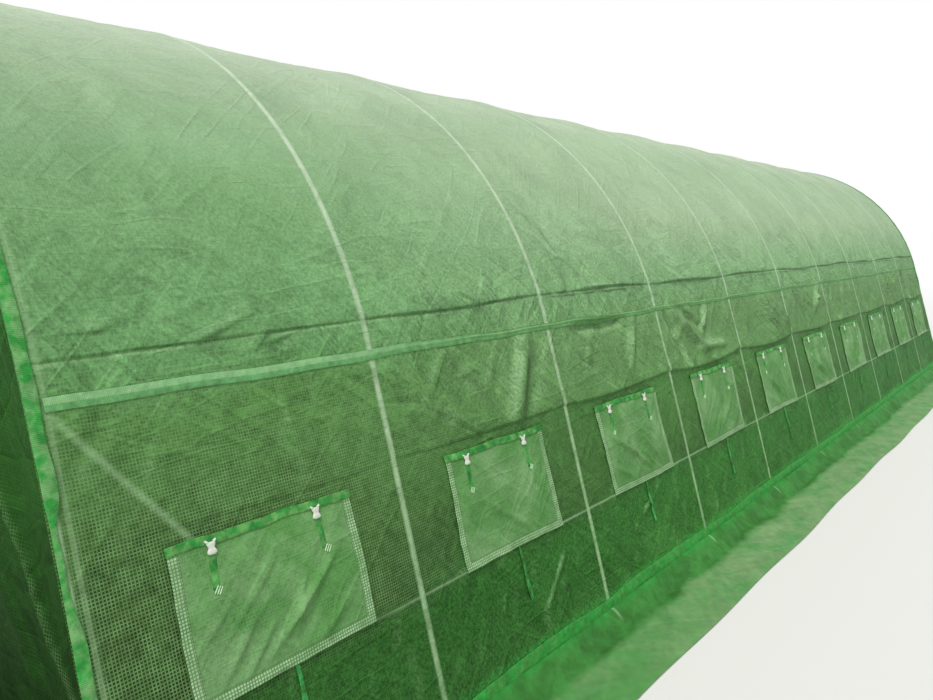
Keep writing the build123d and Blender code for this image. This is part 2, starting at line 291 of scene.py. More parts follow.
def ridge(a, b, start, end, height, width, lean=1.0):
    """A tapered fold from start to end: a bell across the line, wider by lean on its upper side, and a sine
    along the line that brings it to nothing at both ends. A hollow has a height below zero."""
    run_a, run_b = end[0] - start[0], end[1] - start[1]
    size = math.hypot(run_a, run_b)
    along = ((a - start[0]) * run_a + (b - start[1]) * run_b) / size ** 2
    across = ((a - start[0]) * run_b - (b - start[1]) * run_a) / size
    across = np.where(across * run_a < 0, across / lean, across)
    return height * np.sin(math.pi * np.clip(along, 0, 1)) ** 0.7 * np.exp(-(across / width) ** 2)


def overhang(distance, reach, drop):
    """A swell that ends in a step: full just above a line, dying away upward over reach, and falling to
    nothing within drop on the line itself. Distance counts upward from the line."""
    above = np.maximum(distance, 0)
    return np.exp(-above / reach) * (1 - np.exp(-above / drop))


# Folds that the photo shows on the right side: start, end, height and width in metres, and lean
PHOTO_FOLDS = (
    ((0.05, 1.424), (0.24, 1.420), 0.0045, 0.008, 2.6),
    ((0.15, 1.412), (0.30, 1.475), 0.0045, 0.008, 2.0),
    ((0.36, 1.345), (0.64, 1.445), 0.0050, 0.009, 1.8),
    ((0.50, 1.270), (0.66, 1.390), 0.0050, 0.009, 1.8),
    ((0.58, 1.300), (0.78, 1.372), -0.0045, 0.010, 1.0),
    ((0.06, 1.320), (0.27, 1.292), -0.0040, 0.009, 1.0),
    ((0.42, 1.215), (0.68, 1.060), -0.0080, 0.045, 1.0),
    ((0.28, 1.130), (0.20, 0.900), 0.0060, 0.050, 1.0),
    ((0.64, 1.245), (0.67, 1.050), 0.0040, 0.012, 1.0),
    ((1.27, 1.490), (1.37, 1.360), 0.0060, 0.010, 1.8),
    ((1.34, 1.480), (1.46, 1.370), 0.0050, 0.010, 1.8),
    ((1.44, 1.470), (1.60, 1.385), 0.0050, 0.012, 1.8),
    ((1.28, 1.300), (1.43, 1.120), 0.0055, 0.010, 1.6),
    ((1.40, 1.160), (1.58, 0.940), 0.0045, 0.009, 1.6),
    ((1.18, 1.080), (1.36, 0.960), 0.0050, 0.018, 1.0),
    ((1.86, 1.270), (1.63, 0.890), 0.0120, 0.042, 1.0),
    ((1.97, 1.240), (1.73, 0.900), -0.0040, 0.040, 1.0),
    ((2.19, 1.105), (2.36, 1.020), -0.0050, 0.010, 1.0),
    ((2.33, 1.030), (2.44, 0.930), -0.0050, 0.010, 1.0),
    ((2.18, 1.235), (2.66, 1.232), -0.0120, 0.022, 1.0),
    ((2.20, 1.268), (2.64, 1.264), 0.0080, 0.014, 1.0),
    ((3.12, 1.275), (3.52, 0.980), 0.0140, 0.026, 1.0),
    ((3.09, 1.250), (3.27, 0.920), -0.0110, 0.024, 1.0),
    ((3.24, 1.270), (3.62, 1.060), -0.0080, 0.018, 1.0),
    ((3.40, 1.010), (3.86, 0.990), 0.0100, 0.026, 1.0),
    ((3.66, 1.275), (3.50, 1.060), 0.0090, 0.022, 1.0),
    ((2.78, 1.270), (2.60, 0.980), 0.0070, 0.024, 1.0),
    ((2.03, 1.900), (2.20, 1.400), 0.0060, 0.020, 1.4),
    ((2.08, 1.780), (2.36, 1.400), 0.0060, 0.022, 1.4),
    ((2.16, 1.660), (2.52, 1.410), -0.0060, 0.024, 1.0),
    ((0.55, 0.385), (0.76, 0.455), 0.0035, 0.005, 1.4),
    ((0.75, 0.460), (0.71, 0.370), 0.0030, 0.005, 1.4),
    ((1.79, 0.375), (1.69, 0.285), 0.0035, 0.006, 1.4),
    ((1.71, 0.300), (1.60, 0.215), 0.0035, 0.007, 1.4),
    ((1.40, 0.355), (1.365, 0.275), 0.0030, 0.005, 1.4),
    ((2.60, 0.400), (2.42, 0.330), 0.0030, 0.008, 1.4),
    ((2.30, 0.330), (2.44, 0.250), 0.0030, 0.008, 1.4),
)


def crease_run(place):
    """The run of the crease over the upper purlin: nearly level, with a slow uneven drift along the tunnel."""
    level = np.interp(place, [0, 1, 2, 10], [1.356, 1.372, 1.393, 1.400])
    drift = 0.005 * np.sin(2.9 * place + 0.6) + 0.003 * np.sin(7.7 * place)
    return level + drift * np.clip(place - 0.5, 0, 1)


def swag_run(place):
    """The run of the lower edge of the swell over the windows: lowest in the middle of a bay."""
    share = place / BAY - np.floor(place / BAY)
    return 0.915 + 0.020 * (np.abs(2 * share - 1) ** 2 - 0.4) + 0.006 * np.sin(5.1 * place)


def scattered_folds(place, near, bay, side):
    """Diagonal folds that fan down from the waist seam beside each hoop, and short ones over the upper
    purlin. Each bay's folds start, lean and swell by its own steady chances."""
    lift = np.zeros(np.broadcast(place, near).shape)
    for number in range(7):
        first = chance(bay, side + 3, number)
        second = chance(bay + 7, side + 3, number + 11)
        third = chance(bay + 13, side + 3, number + 23)
        from_hoop = bay * BAY + BAY * (0.06 + 0.86 * first)
        way = np.where(second > 0.5, 1.0, -1.0)
        slope = way * (0.25 + 0.7 * third)
        if number < 4:
            top, size, tall, wide = 1.27, 0.22 + 0.20 * second, 0.0205, 0.023
        else:
            top, size, tall, wide = 1.50, 0.07 + 0.07 * second, 0.0100, 0.011
        down = top - near
        across = (place - from_hoop - slope * down) / np.sqrt(1 + slope ** 2)
        along = np.clip(down / size, 0, 1)
        swell = tall * (0.5 + third) * np.where(first > 0.35, 1.0, -1.0)
        bell = np.exp(-(across / (wide * (0.7 + second))) ** 2)
        lift = lift + swell * np.sin(math.pi * along) ** 0.8 * bell
    return lift


def over_tubes(place, near, lift):
    """The lift kept above the tubes: over each one the film can't sink below its round top."""
    for distance, radius in (
            (np.abs((place + BAY / 2) % BAY - BAY / 2), HOOP_RADIUS),
            (near - LOW_PURLIN_RUN, PURLIN_RADIUS),
            (near - HIGH_PURLIN_RUN, PURLIN_RADIUS),
            (near - RIDGE_RUN, PURLIN_RADIUS)):
        inside = np.abs(distance) < radius
        top = np.sqrt(np.maximum(radius ** 2 - distance ** 2, 0)) - radius - 0.0012
        lift = np.where(inside, np.maximum(lift, top), lift)
    return lift


def film_lift(place, run):
    """How far the film stands out of the smooth arch.

    Between two hoops it hangs in by the sag, as a power of a sine that is sharp at the hoops, held up again
    by a bell along each purlin. It swells over the upper purlin's crease and over the row of windows in two
    overhangs. The folds of the photo, scattered folds for the other bays and slow waves are added.
    """
    s = sizes()
    place, run = matched(place, run)
    near = from_foot(run)
    side = np.where(run <= RIDGE_RUN, 0, 5)
    inside = np.clip(place, 0, TUNNEL - 1e-6)
    bay = np.floor(inside / BAY)
    share = inside / BAY - bay
    arc = np.sin(math.pi * share)
    free = np.clip(near / 0.12, 0, 1) * ((place >= 0) & (place <= TUNNEL))
    sag = s.wall_sag + (s.crown_sag - s.wall_sag) * np.interp(near, [1.0, 1.7, 2.6], [0.0, 0.5, 1.0])
    held = 1 - 0.75 * np.exp(-((near - LOW_PURLIN_RUN) / 0.07) ** 2)
    held = held - 0.6 * np.exp(-((near - HIGH_PURLIN_RUN) / 0.08) ** 2)
    held = held - 0.6 * np.exp(-((near - RIDGE_RUN) / 0.15) ** 2)
    lift = -sag * arc ** 0.8 * held * np.clip(near / 0.1, 0, 1)

    strength = np.where(bay == 0, 0.45, 0.65 + 0.7 * chance(bay, side + 1, 5)) * arc ** 0.5
    uneven = 1 + 0.45 * waves(place, near * 0, 0.31, 3)
    lift = lift + s.billow * strength * uneven * overhang(near - crease_run(place), 0.065, 0.005)
    strength = np.interp(place, [0, 1, 1.6, 2.2, 3, 5, 10], [0.15, 0.30, 0.7, 1.0, 1.15, 0.9, 0.7])
    strength = strength * (0.45 + 0.55 * arc ** 0.5) * (1 + 0.35 * waves(place, near * 0, 0.43, 8))
    lift = lift + s.swag * strength * overhang(near - swag_run(place), 0.085, 0.006)

    known = np.where(side == 0, np.clip(2.4 - np.maximum(place - 3.0, 0) * 2, 0, 1), 0.0)
    folds = np.zeros(place.shape)
    for start, end, height, width, lean in PHOTO_FOLDS:
        folds = folds + ridge(place, near, start, end, height, width, lean)
    lift = lift + free * known * np.interp(place, [0.9, 1.2], [1.1, 2.3]) * folds
    scattered = scattered_folds(inside, near, bay, side) * np.clip(4 * arc, 0, 1)
    lift = lift + free * (1 - 0.75 * known) * scattered

    calm = np.interp(near, [0, 0.15, 0.5, 1.2, 1.8, 2.6], [0.2, 1.0, 0.9, 1.0, 0.9, 0.5])
    calm = calm * np.clip(3 * arc, 0.1, 1)
    lift = lift + free * calm * 0.0055 * waves(place, near * 0.6, 0.36, 1 + side, 3)
    lift = lift + free * calm * 0.0024 * waves(place, near * 0.7, 0.13, 2 + side, 3)
    between = np.exp(-((near - 1.325) / 0.045) ** 2) * np.clip(place - 0.7, 0, 1)
    lift = lift + free * between * 0.0045 * waves(place, near, 0.12, 6 + side, 3)
    return over_tubes(inside, near, lift)


def grid_quads(rows, columns, closed=False):
    """Corner numbers of the four-sided faces of a grid of points, joined up across its columns if closed."""
    row = np.arange(rows - 1)[:, None]
    column = np.arange(columns if closed else columns - 1)[None, :]
    after = (column + 1) % columns
    above, below = row * columns, (row + 1) * columns
    return stacked(above + column, below + column, below + after, above + after).reshape(-1, 4)


def surface(points, flat, hole=None):
    """A one-layer shape on a grid of points, without the faces whose middle lies in the hole."""
    rows, columns = points.shape[:2]
    faces = grid_quads(rows, columns)
    points, flat = points.reshape(-1, 3), flat.reshape(-1, flat.shape[-1])
    if hole is not None:
        faces = faces[~hole(flat[faces].mean(1))]
        used = np.zeros(len(points), bool)
        used[faces] = True
        number = np.cumsum(used) - 1
        points, flat, faces = points[used], flat[used], number[faces]
    return points, [faces], flat


def solid_rings(points, flat):
    """A closed shape from rings of points along a path, with a flat cap at each end. The faces are turned
    outward by the sign of the volume that they enclose."""
    rows, columns = points.shape[:2]
    sides = grid_quads(rows, columns, closed=True)
    points, flat = points.reshape(-1, 3), flat.reshape(-1, 2)
    middle = points.mean(0)
    corner = points[sides] - middle
    volume = np.einsum("ij,ij->i", corner[:, 0], np.cross(corner[:, 1], corner[:, 2])).sum()
    caps = np.stack([np.arange(columns), (rows - 1) * columns + np.arange(columns)[::-1]])
    if volume < 0:
        sides, caps = sides[:, ::-1], caps[:, ::-1]
    return points, [sides, caps], flat


def joined(shapes):
    """Several shapes as one, with the face corners counted on."""
    start, points, faces, flat = 0, [], [], []
    for shape in shapes:
        points.append(shape[0])
        faces.extend(face + start for face in shape[1])
        flat.append(shape[2])
        start += len(shape[0])
    return np.concatenate(points), faces, np.concatenate(flat)


def flipped(shape):
    """A shape whose faces look the other way."""
    return shape[0], [face[:, ::-1] for face in shape[1]], shape[2]


def turned_over(shape, axis):
    """A shape mirrored across the tunnel (axis 1) or along it (axis 0), with its faces kept outward."""
    points = shape[0].copy()
    points[:, axis] *= -1
    return flipped((points, *shape[1:]))


def at_end(shape, end):
    """A shape that is made for the front end, as it is or turned over to the back one."""
    return turned_over(shape, 0) if end == "back" else shape


def both_sides(shape):
    """A shape together with itself mirrored across the tunnel."""
    return joined([shape, turned_over(shape, 1)])


def make_piece(name, shape, material, nodes):
    """Put a shape into a mesh object that rides on the frame and stands for its CAD nodes."""
    points, face_sets, flat = shape
    corners = np.concatenate([face.reshape(-1) for face in face_sets]).astype(np.int32)
    counts = np.concatenate([np.full(len(face), face.shape[1]) for face in face_sets])
    starts = np.concatenate([[0], np.cumsum(counts)[:-1]]).astype(np.int32)
    mesh = bpy.data.meshes.new(name)
    mesh.vertices.add(len(points))
    mesh.vertices.foreach_set("co", points.astype(np.float32).reshape(-1))
    mesh.loops.add(len(corners))
    mesh.loops.foreach_set("vertex_index", corners)
    mesh.polygons.add(len(counts))
    mesh.polygons.foreach_set("loop_start", starts)
    mesh.polygons.foreach_set("use_smooth", np.full(len(counts), True))
    for number, layer_name in enumerate(("flat_place", "crease_place", "slope")[:flat.shape[1] // 2]):
        pair = flat[corners, 2 * number:2 * number + 2].astype(np.float32)
        mesh.uv_layers.new(name=layer_name).data.foreach_set("uv", pair.reshape(-1))
    mesh.update(calc_edges=True)
    if mesh.validate():
        raise RuntimeError(f"{name} has faulty faces")
    mesh.materials.append(material)
    piece = bpy.data.objects.new(name, mesh)
    bpy.context.scene.collection.objects.link(piece)
    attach(piece, "root")
    if nodes:
        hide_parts(*nodes)
    return piece


def stations(near_step, far_step, extra=()):
    """Places along the tunnel for a grid: fine over the first four bays, coarser behind them, with close
    lines beside every hoop, so that the film bends sharply there, and the extra places asked for."""
    near_end = 4 * BAY
    front, back = -END - FRONT, END - FRONT
    near = np.linspace(front, near_end, int((near_end - front) / near_step) + 1)
    far = np.linspace(near_end, back, int((back - near_end) / far_step) + 1)
    hoops = np.arange(BAYS + 1)[:, None] * BAY + np.array([-0.014, -0.007, 0.0, 0.007, 0.014])
    fixed = np.unique(np.round(np.concatenate([[front, back], hoops.reshape(-1), extra]), 5))
    fixed = fixed[(fixed >= front - 1e-5) & (fixed <= back + 1e-5)]
    free = np.concatenate([near, far])
    clear = np.abs(free[:, None] - fixed[None, :]).min(1) > 0.004
    return np.sort(np.concatenate([fixed, free[clear]]))


def window_places():
    """The middle of each window, counted along the tunnel from the front hoop."""
    return (np.arange(BAYS) + 0.5) * BAY + sizes().window_shift


def flat_band(width, thickness, count):
    """The outline of a flat band lying on something: a rounded box made by low powers of sine and cosine.
    Gives the offsets across the band and up from what it lies on."""
    angle, corner = angles(count, 0.5), 0.35
    up = (1 + squared(np.sin(angle), corner)) * thickness / 2
    return squared(np.cos(angle), corner) * width / 2, up


def strip(place, run, width, thickness, rest, lift=0.0, puff=0.0, count=14):
    """A closed flat band that follows a path over the cover and lies on what rest gives there.

    Its outline is carried along the path, square to it within the cover. Lift is extra height, one value or
    one for each point of the path, and puff raises the band's middle as a cosine across it.
    """
    place, run = matched(place, run)
    ahead = np.stack([np.gradient(place), np.gradient(run)])
    ahead = ahead / np.linalg.norm(ahead, axis=0)
    share, up = flat_band(1.0, thickness, count)
    across = share[None, :] * np.broadcast_to(width, place.shape)[:, None]
    places = place[:, None] - across * ahead[1][:, None]
    runs = run[:, None] + across * ahead[0][:, None]
    raised = puff * np.cos(math.pi * share)[None, :] * (up > thickness / 2)
    height = rest(places, runs) + np.broadcast_to(lift, place.shape)[:, None] + up[None, :] + raised
    travel = travelled(stacked(place, run)) + place[0]
    return solid_rings(on_cover(places, runs, height), stacked(travel[:, None], across))


def tube(path, radius, sides=14):
    """A round tube: a circle carried along a path of points, square to the path at each of them, with its
    first side direction kept away from the path's own."""
    path = np.asarray(path, float)
    ahead = unit(np.gradient(path, axis=0))
    guide = np.array([1.0, 0, 0]) if abs(ahead[0, 0]) < 0.9 else np.array([0, 0, 1.0])
    first = unit(np.cross(ahead, guide))
    second = np.cross(ahead, first)
    angle = angles(sides)
    radius = np.broadcast_to(np.asarray(radius, float), (len(path),))[:, None, None]
    ring = np.cos(angle)[None, :, None] * first[:, None] + np.sin(angle)[None, :, None] * second[:, None]
    flat = stacked(travelled(path)[:, None], angle[None, :] * radius[:, :, 0])
    return solid_rings(path[:, None] + radius * ring, flat)


def ribbon(path, side, width, thickness):
    """A flat band in space: its rounded outline carried along a path of points, with its width along one
    fixed direction and its thickness square to that and to the path."""
    path, side = np.asarray(path, float), np.asarray(side, float)
    out = unit(np.cross(np.gradient(path, axis=0), side))
    across, up = flat_band(width, thickness, 12)
    up = up - thickness / 2
    points = path[:, None] + across[None, :, None] * side + up[None, :, None] * out[:, None]
    return solid_rings(points, stacked(travelled(path)[:, None], across[None, :]))


# The cover

def close_runs(low, high, step, bands):
    """Runs from low to high at one step, with closer ones inside each band of (low, high, step)."""
    parts = [np.linspace(low, high, int(round((high - low) / step)) + 1)]
    for start, stop, fine in bands:
        parts[0] = parts[0][(parts[0] < start - fine / 2) | (parts[0] > stop + fine / 2)]
        parts.append(np.arange(start, stop + fine / 2, fine))
    return np.sort(np.concatenate([*parts, [low, high]])).round(6)


def spread(place, run):
    """The cover's film at every place and run of a grid, with its flat place in metres, its heights over the
    upper crease and over the swell's lower edge, and how steeply it rises along the tunnel and down it."""
    lift = film_lift(place[:, None], run[None, :])
    rise = np.gradient(lift, place, axis=0)
    fall = -np.gradient(lift, run, axis=1) * np.where(run <= RIDGE_RUN, 1, -1)
    place, run = place[:, None], run[None, :]
    near = from_foot(run)
    flat = stacked(place, near, near - crease_run(place), near - swag_run(place), rise, fall)
    return on_cover(place, run, lift - SEAT), flat


def roof_shape():
    """The roof's film from seam to seam, with close runs at the upper crease and the ridge. The
    photographed side has the finer grid."""
    place = stations(0.016, 0.040)
    top = (RIDGE_RUN - 0.018, RIDGE_RUN, 0.006)
    right = np.unique(close_runs(WAIST_RUN, RIDGE_RUN, 0.022, [(1.338, 1.426, 0.004), top]))
    left = np.unique(close_runs(WAIST_RUN, RIDGE_RUN, 0.045, [(1.352, 1.420, 0.0068), top]))
    run = np.concatenate([right, 2 * RIDGE_RUN - left[-2::-1]])
    return surface(*spread(place, run))


def in_window(flat):
    """Where the side film is cut out behind a flap: inside its hem, in any bay."""
    s = sizes()
    from_middle = np.abs((flat[:, 0] - s.window_shift) % BAY - BAY / 2)
    up = flat[:, 1] - s.window_sill
    level = (up > CUT_INSET) & (up < s.window_height - CUT_INSET)
    in_a_bay = (flat[:, 0] > 0) & (flat[:, 0] < TUNNEL)
    return level & in_a_bay & (from_middle < s.window_width / 2 - CUT_INSET)


def side_shape(left):
    """One side film, with its window openings. The photographed side has the finer grid, with close runs
    along the sill, over the openings and over the swell's lower edge."""
    edge = sizes().window_width / 2 - CUT_INSET
    edges = np.concatenate([window_places() - edge, window_places() + edge])
    step, far_step, opening_step, swell_step = (
        (0.040, 0.060, 0.0348, 0.010) if left else (0.013, 0.036, 0.0116, 0.004))
    place = stations(step, far_step, edges)
    bands = [(0.476, 0.500, 0.006), (0.506, 0.854, opening_step), (0.884, 0.948, swell_step)]
    near = np.unique(close_runs(0.0, WAIST_RUN, step, bands))
    run = 2 * RIDGE_RUN - near[::-1] if left else near
    return surface(*spread(place, run), hole=in_window)


# The sewn tapes and bands

def between_trims(step_near, step_far):
    """Places for a band that ends against the trims at both ends of the cover."""
    place = stations(step_near, step_far)
    inner = TRIM_HIGH.x + SEAT - FRONT
    outer = TUNNEL - inner
    inside = place[(place > inner + 0.002) & (place < outer - 0.002)]
    return np.concatenate([[inner], inside, [outer]])


def waist_tape():
    """The tape over the waist seam. Its middle wavers by two sines, it is gathered narrower behind the first
    bay, and it bunches up a little in the third."""
    place = between_trims(0.014, 0.040)
    bunch = np.exp(-((place - 2.42) / 0.17) ** 2)
    wander = 0.0025 * np.sin(6.3 * place) + 0.0015 * np.sin(17.0 * place + 1) - 0.006 * bunch
    gathered = np.interp(place, [0.9, 1.6, 3.0, 10], [1.0, 0.80, 0.66, 0.62])
    uneven = 1 + 0.12 * np.sin(9.0 * place + 0.4) * np.clip(place - 1, 0, 1)
    width = sizes().tape_width * gathered * uneven * (1 + 0.35 * bunch)
    return strip(place, WAIST_RUN + wander, width, 0.0018, film_lift, 0.0006, 0.0014)


def foot_band():
    """The folded band near the ground: a soft roll whose middle wavers and whose height swells unevenly."""
    s = sizes()
    place = between_trims(0.022, 0.045)
    wander = 0.004 * np.sin(3.1 * place + 0.8) + 0.0025 * np.sin(8.9 * place)
    width = s.band_width * (1.12 + 0.16 * np.sin(5.3 * place) + 0.08 * np.sin(14.1 * place + 2))
    lift = 0.0010 + 0.0008 * (1 + np.sin(7.3 * place))
    return strip(place, s.band_rise + s.band_width / 2 + wander, width, 0.0032, film_lift, lift, 0.0032)


def corner_trim():
    """The band round the front end of the cover, from ground to ground. It follows the arch. Under the
    shoulder it is puckered to half its width for a stretch, and it swells out just above that."""
    s = sizes()
    run = foot_to_foot(np.linspace(0.004, RIDGE_RUN, 190))
    height = from_foot(run)
    pucker = np.clip((height - 0.72) / 0.16, 0, 1) * np.clip((1.05 - height) / 0.05, 0, 1)
    pucker = pucker * pucker * (3 - 2 * pucker)
    swell = np.exp(-((height - 1.10) / 0.05) ** 2)
    width = s.trim_width * (0.80 - 0.40 * pucker + 0.08 * swell - 0.05 * np.sin(17 * run) ** 2)
    outer = TRIM_LOW.x - FRONT + 0.0004 + 0.003 * pucker
    middle = outer + width / 2 + 0.0008 * np.sin(11 * run) ** 2
    lift = 0.0012 + 0.0012 * np.sin(23 * run) ** 2 + 0.005 * swell - 0.0008 * pucker

    def smooth_arch(place, run):
        return np.zeros(np.broadcast(place, run).shape)

    return strip(middle, run, width, 0.0028, smooth_arch, lift, 0.0018)


# The windows

# Folds of the photo's first flap: start, end, height, width and lean, with places from its middle and sill
FLAP_FOLDS = (
    ((0.23, 0.27), (-0.03, 0.07), 0.0050, 0.010, 1.8),
    ((0.16, 0.22), (-0.10, 0.03), 0.0055, 0.009, 1.8),
    ((0.09, 0.24), (0.01, 0.06), 0.0040, 0.008, 1.6),
    ((0.13, 0.17), (0.03, 0.05), -0.0045, 0.018, 1.0),
    ((-0.06, 0.20), (-0.22, 0.02), 0.0050, 0.010, 1.8),
    ((-0.02, 0.15), (-0.16, 0.01), 0.0045, 0.009, 1.8),
    ((-0.12, 0.25), (-0.27, 0.12), 0.0035, 0.010, 1.5),
    ((0.02, 0.33), (-0.14, 0.16), 0.0030, 0.016, 1.2),
    ((0.24, 0.12), (0.06, 0.02), 0.0050, 0.022, 1.0),
    ((0.20, 0.33), (0.10, 0.20), -0.0030, 0.020, 1.0),
)


def flap_lift(place, run):
    """How far a window flap stands out of the smooth arch: near its edge it lies on the film, inside it
    spans the cut-out. It puffs out as a sine each way, carries the fold set, turned over and shifted for
    each bay by its own steady chances, and steps up by the doubled hem."""
    s = sizes()
    place, run = matched(place, run)
    bay = np.floor(np.clip(place, 0, TUNNEL - 1e-6) / BAY)
    side = np.where(run <= RIDGE_RUN, 0, 5)
    near = from_foot(run)
    across = place - (bay + 0.5) * BAY - s.window_shift
    up = near - s.window_sill
    inset = np.minimum(s.window_width / 2 - np.abs(across), np.minimum(up, s.window_height - up))
    on_film = np.clip(1 - inset / 0.07, 0, 1)
    lift = film_lift(place, run) * (0.35 + 0.65 * on_film)
    way = np.where((bay == 0) & (side == 0), 1.0, np.where(chance(bay, side, 9) > 0.45, 1.0, -1.0))
    shift = np.where((bay == 0) & (side == 0), 0.0, 0.12 * (chance(bay, side, 4) - 0.5))
    strength = np.where((bay == 0) & (side == 0), 1.0, 0.6 + 0.8 * chance(bay, side, 2))
    folds = np.zeros(place.shape)
    for start, end, height, width, lean in FLAP_FOLDS:
        folds = folds + ridge(way * across - shift, up - shift / 2, start, end, height, 0.7 * width, lean)
    inside = np.clip(inset / 0.03, 0, 1)
    puff = 0.006 * np.sin(math.pi * np.clip(across / s.window_width + 0.5, 0, 1))
    puff = puff * np.sin(math.pi * np.clip(up / s.window_height, 0, 1)) ** 0.7
    soft = 0.0018 * waves(place, near, 0.16, 4 + side)
    edge_wave = 0.0016 * (1 - inside) * (1 + waves(place, near, 0.13, 9 + side))
    hem = 0.0014 / (1 + np.exp(np.clip((inset - s.hem_width) / 0.0012, -30, 30)))
    return lift + 0.0042 + inside * (1.6 * strength * folds + puff + soft) + edge_wave + hem


def flap_shapes(left):
    """One sheet for each window: a grid over its width and height, its outline wavering by under 3 mm."""
    s = sizes()
    shapes = []
    for bay, middle in enumerate(window_places()):
        fine = bay < 3 and not left
        across = np.linspace(-0.5, 0.5, 76 if fine else 38)[:, None] * s.window_width
        up = np.linspace(0, 1, 54 if fine else 27)[None, :] * s.window_height
        low = 0.004 * np.sin(7 * across + 2.1 * bay) * (1 - up / s.window_height)
        side_way = 0.0025 * np.sin(11 * up + bay) * across / s.window_width * 2
        place, near = middle + across + side_way, s.window_sill + up + low
        run = run_on(near, left)
        shape = surface(on_cover(place, run, flap_lift(place, run)), stacked(across, up))
        shapes.append(flipped(shape) if left else shape)
    return joined(shapes)


def flap_bands():
    """The woven band along each flap's top, wavering a little, doubled over the flap's edge."""
    s = sizes()
    shapes = []
    for bay, middle in enumerate(window_places()):
        place = middle + np.linspace(-0.503, 0.503, 60) * s.window_width
        run = s.window_sill + s.window_height - s.band_height / 2
        run = run + 0.0025 * np.sin(19 * (place - middle) + 1.7 * bay) + 0.0012 * np.sin(47 * place)
        shapes.append(strip(place, run, s.band_height, 0.0020, flap_lift, 0.0004, 0.0012, 12))
    return both_sides(joined(shapes))


def buckle(place, run, lift):
    """A side release buckle lying on the flap: rounded sections carried up its length, round and wide at the
    foot, waisted, and wide again at its head, with two short horns that spread from the head's corners."""
    s = sizes()
    share = np.linspace(0, 1, 17)
    half = np.interp(share, [0, 0.05, 0.16, 0.30, 0.52, 0.74, 0.90, 1],
                     [0.26, 0.40, 0.45, 0.42, 0.27, 0.38, 0.42, 0.34])
    thick = np.interp(share, [0, 0.1, 0.3, 0.5, 0.8, 0.94, 1], [0.5, 0.95, 1.0, 0.72, 0.95, 0.9, 0.55])
    side, up = squared(np.cos(angles(12, 0.5)), 0.5), squared(np.sin(angles(12, 0.5)), 0.6)
    across = place + side[None, :] * half[:, None] * s.buckle_width
    runs = run + (share[:, None] - 0.5) * s.buckle_length * 0.86 - 0.002
    high = lift + 0.0048 + up[None, :] * thick[:, None] * 0.0044
    shapes = [solid_rings(on_cover(across, runs, high), stacked(runs, across - place))]
    for way in (-1, 1):
        step = np.linspace(0, 1, 5)
        horn_place = place + way * s.buckle_width * (0.30 + 0.22 * step ** 1.3)
        horn_run = run + s.buckle_length * (0.34 + 0.16 * step)
        shapes.append(tube(on_cover(horn_place, horn_run, lift + 0.0048), 0.0040 - 0.0016 * step ** 2, 8))
    return joined(shapes)


def buckle_places():
    """Each buckle's place and run: beside the window's middle, under the band, the pair a little uneven."""
    s = sizes()
    run = s.window_sill + s.window_height - s.band_height - s.buckle_length / 2 + 0.008
    found = []
    for bay, middle in enumerate(window_places()):
        for way in (-1, 1):
            sway = 0.016 * (float(chance(bay, way + 2, 1)) - 0.5)
            found.append((middle + way * s.buckle_spacing / 2 - 0.012 + sway, run + 0.4 * sway, bay, way))
    return found


def buckles():
    return both_sides(joined([
        buckle(place, run, float(flap_lift(place, run))) for place, run, *_ in buckle_places()]))


def straps():
    """The webbing that holds each buckle: a short band from under it down the flap, a little askew."""
    s = sizes()
    shapes = []
    for place, run, bay, way in buckle_places():
        down = np.linspace(0, 1, 12)
        sway = (0.006 if way > 0 else -0.004) + 0.01 * (float(chance(bay, way + 5, 7)) - 0.5)
        runs = run - s.buckle_length * 0.3 - 0.092 * down
        shapes.append(strip(place + sway * down, runs, 0.020, 0.0008, flap_lift, 0.0002, 0.0, 10))
    return both_sides(joined(shapes))


def strap_stitches():
    """The sewn tick at the end of each strap: three short crossing stitches."""
    shapes = []
    for place, run, _, way in buckle_places():
        for number in range(3):
            low = run - 0.112 - 0.003 * number
            start = place + 0.010 * way + 0.006 * number - 0.006
            path = np.linspace(0, 1, 6)
            shapes.append(strip(
                start + 0.013 * path, low + 0.017 * path, 0.0028, 0.0010, flap_lift, 0.0008, 0.0, 8))
    return both_sides(joined(shapes))


def tie_ribbons():
    """The ribbon under each window: a thin band that leaves the flap's hem and hangs down the wall, with a
    slow sideways sway and its end lifted off the film."""
    s = sizes()
    shapes = []
    for bay, middle in enumerate(window_places()):
        down = np.linspace(0, 1, 26)
        size = s.tie_length * (0.93 + 0.12 * float(chance(bay, 2, 3)))
        lean = 0.03 * (float(chance(bay, 4, 6)) - 0.5)
        place = middle + lean * down + 0.003 * np.sin(5 * down + bay)
        run = s.window_sill + 0.008 - size * down
        lift = 0.0030 + 0.0030 * np.sin(math.pi * down) + 0.006 * down ** 3
        twist = 1 - 0.2 * np.sin(2.2 * math.pi * down + bay) ** 2
        width = s.tie_width * (0.55 + 0.45 * down ** 0.6) * twist
        shapes.append(strip(place, run, width, 0.0012, film_lift, lift, 0.0, 10))
    return both_sides(joined(shapes))


def net_size():
    """A net's width and height inside its cut-out."""
    s = sizes()
    return s.window_width - 2 * NET_INSET, s.window_height - 2 * NET_INSET


def net_shapes(left):
    """The flat insect net behind each flap, inside the cut-out."""
    width, height = net_size()
    across, up = np.linspace(-0.5, 0.5, 8)[:, None] * width, np.linspace(0, 1, 6)[None, :] * height
    run = run_on(sizes().window_sill + NET_INSET + up, left)
    flat = stacked(across, up)
    shapes = [surface(on_cover(middle + across, run, -FILM / 2), flat) for middle in window_places()]
    return joined([flipped(shape) if left else shape for shape in shapes])


# The skirt on the ground

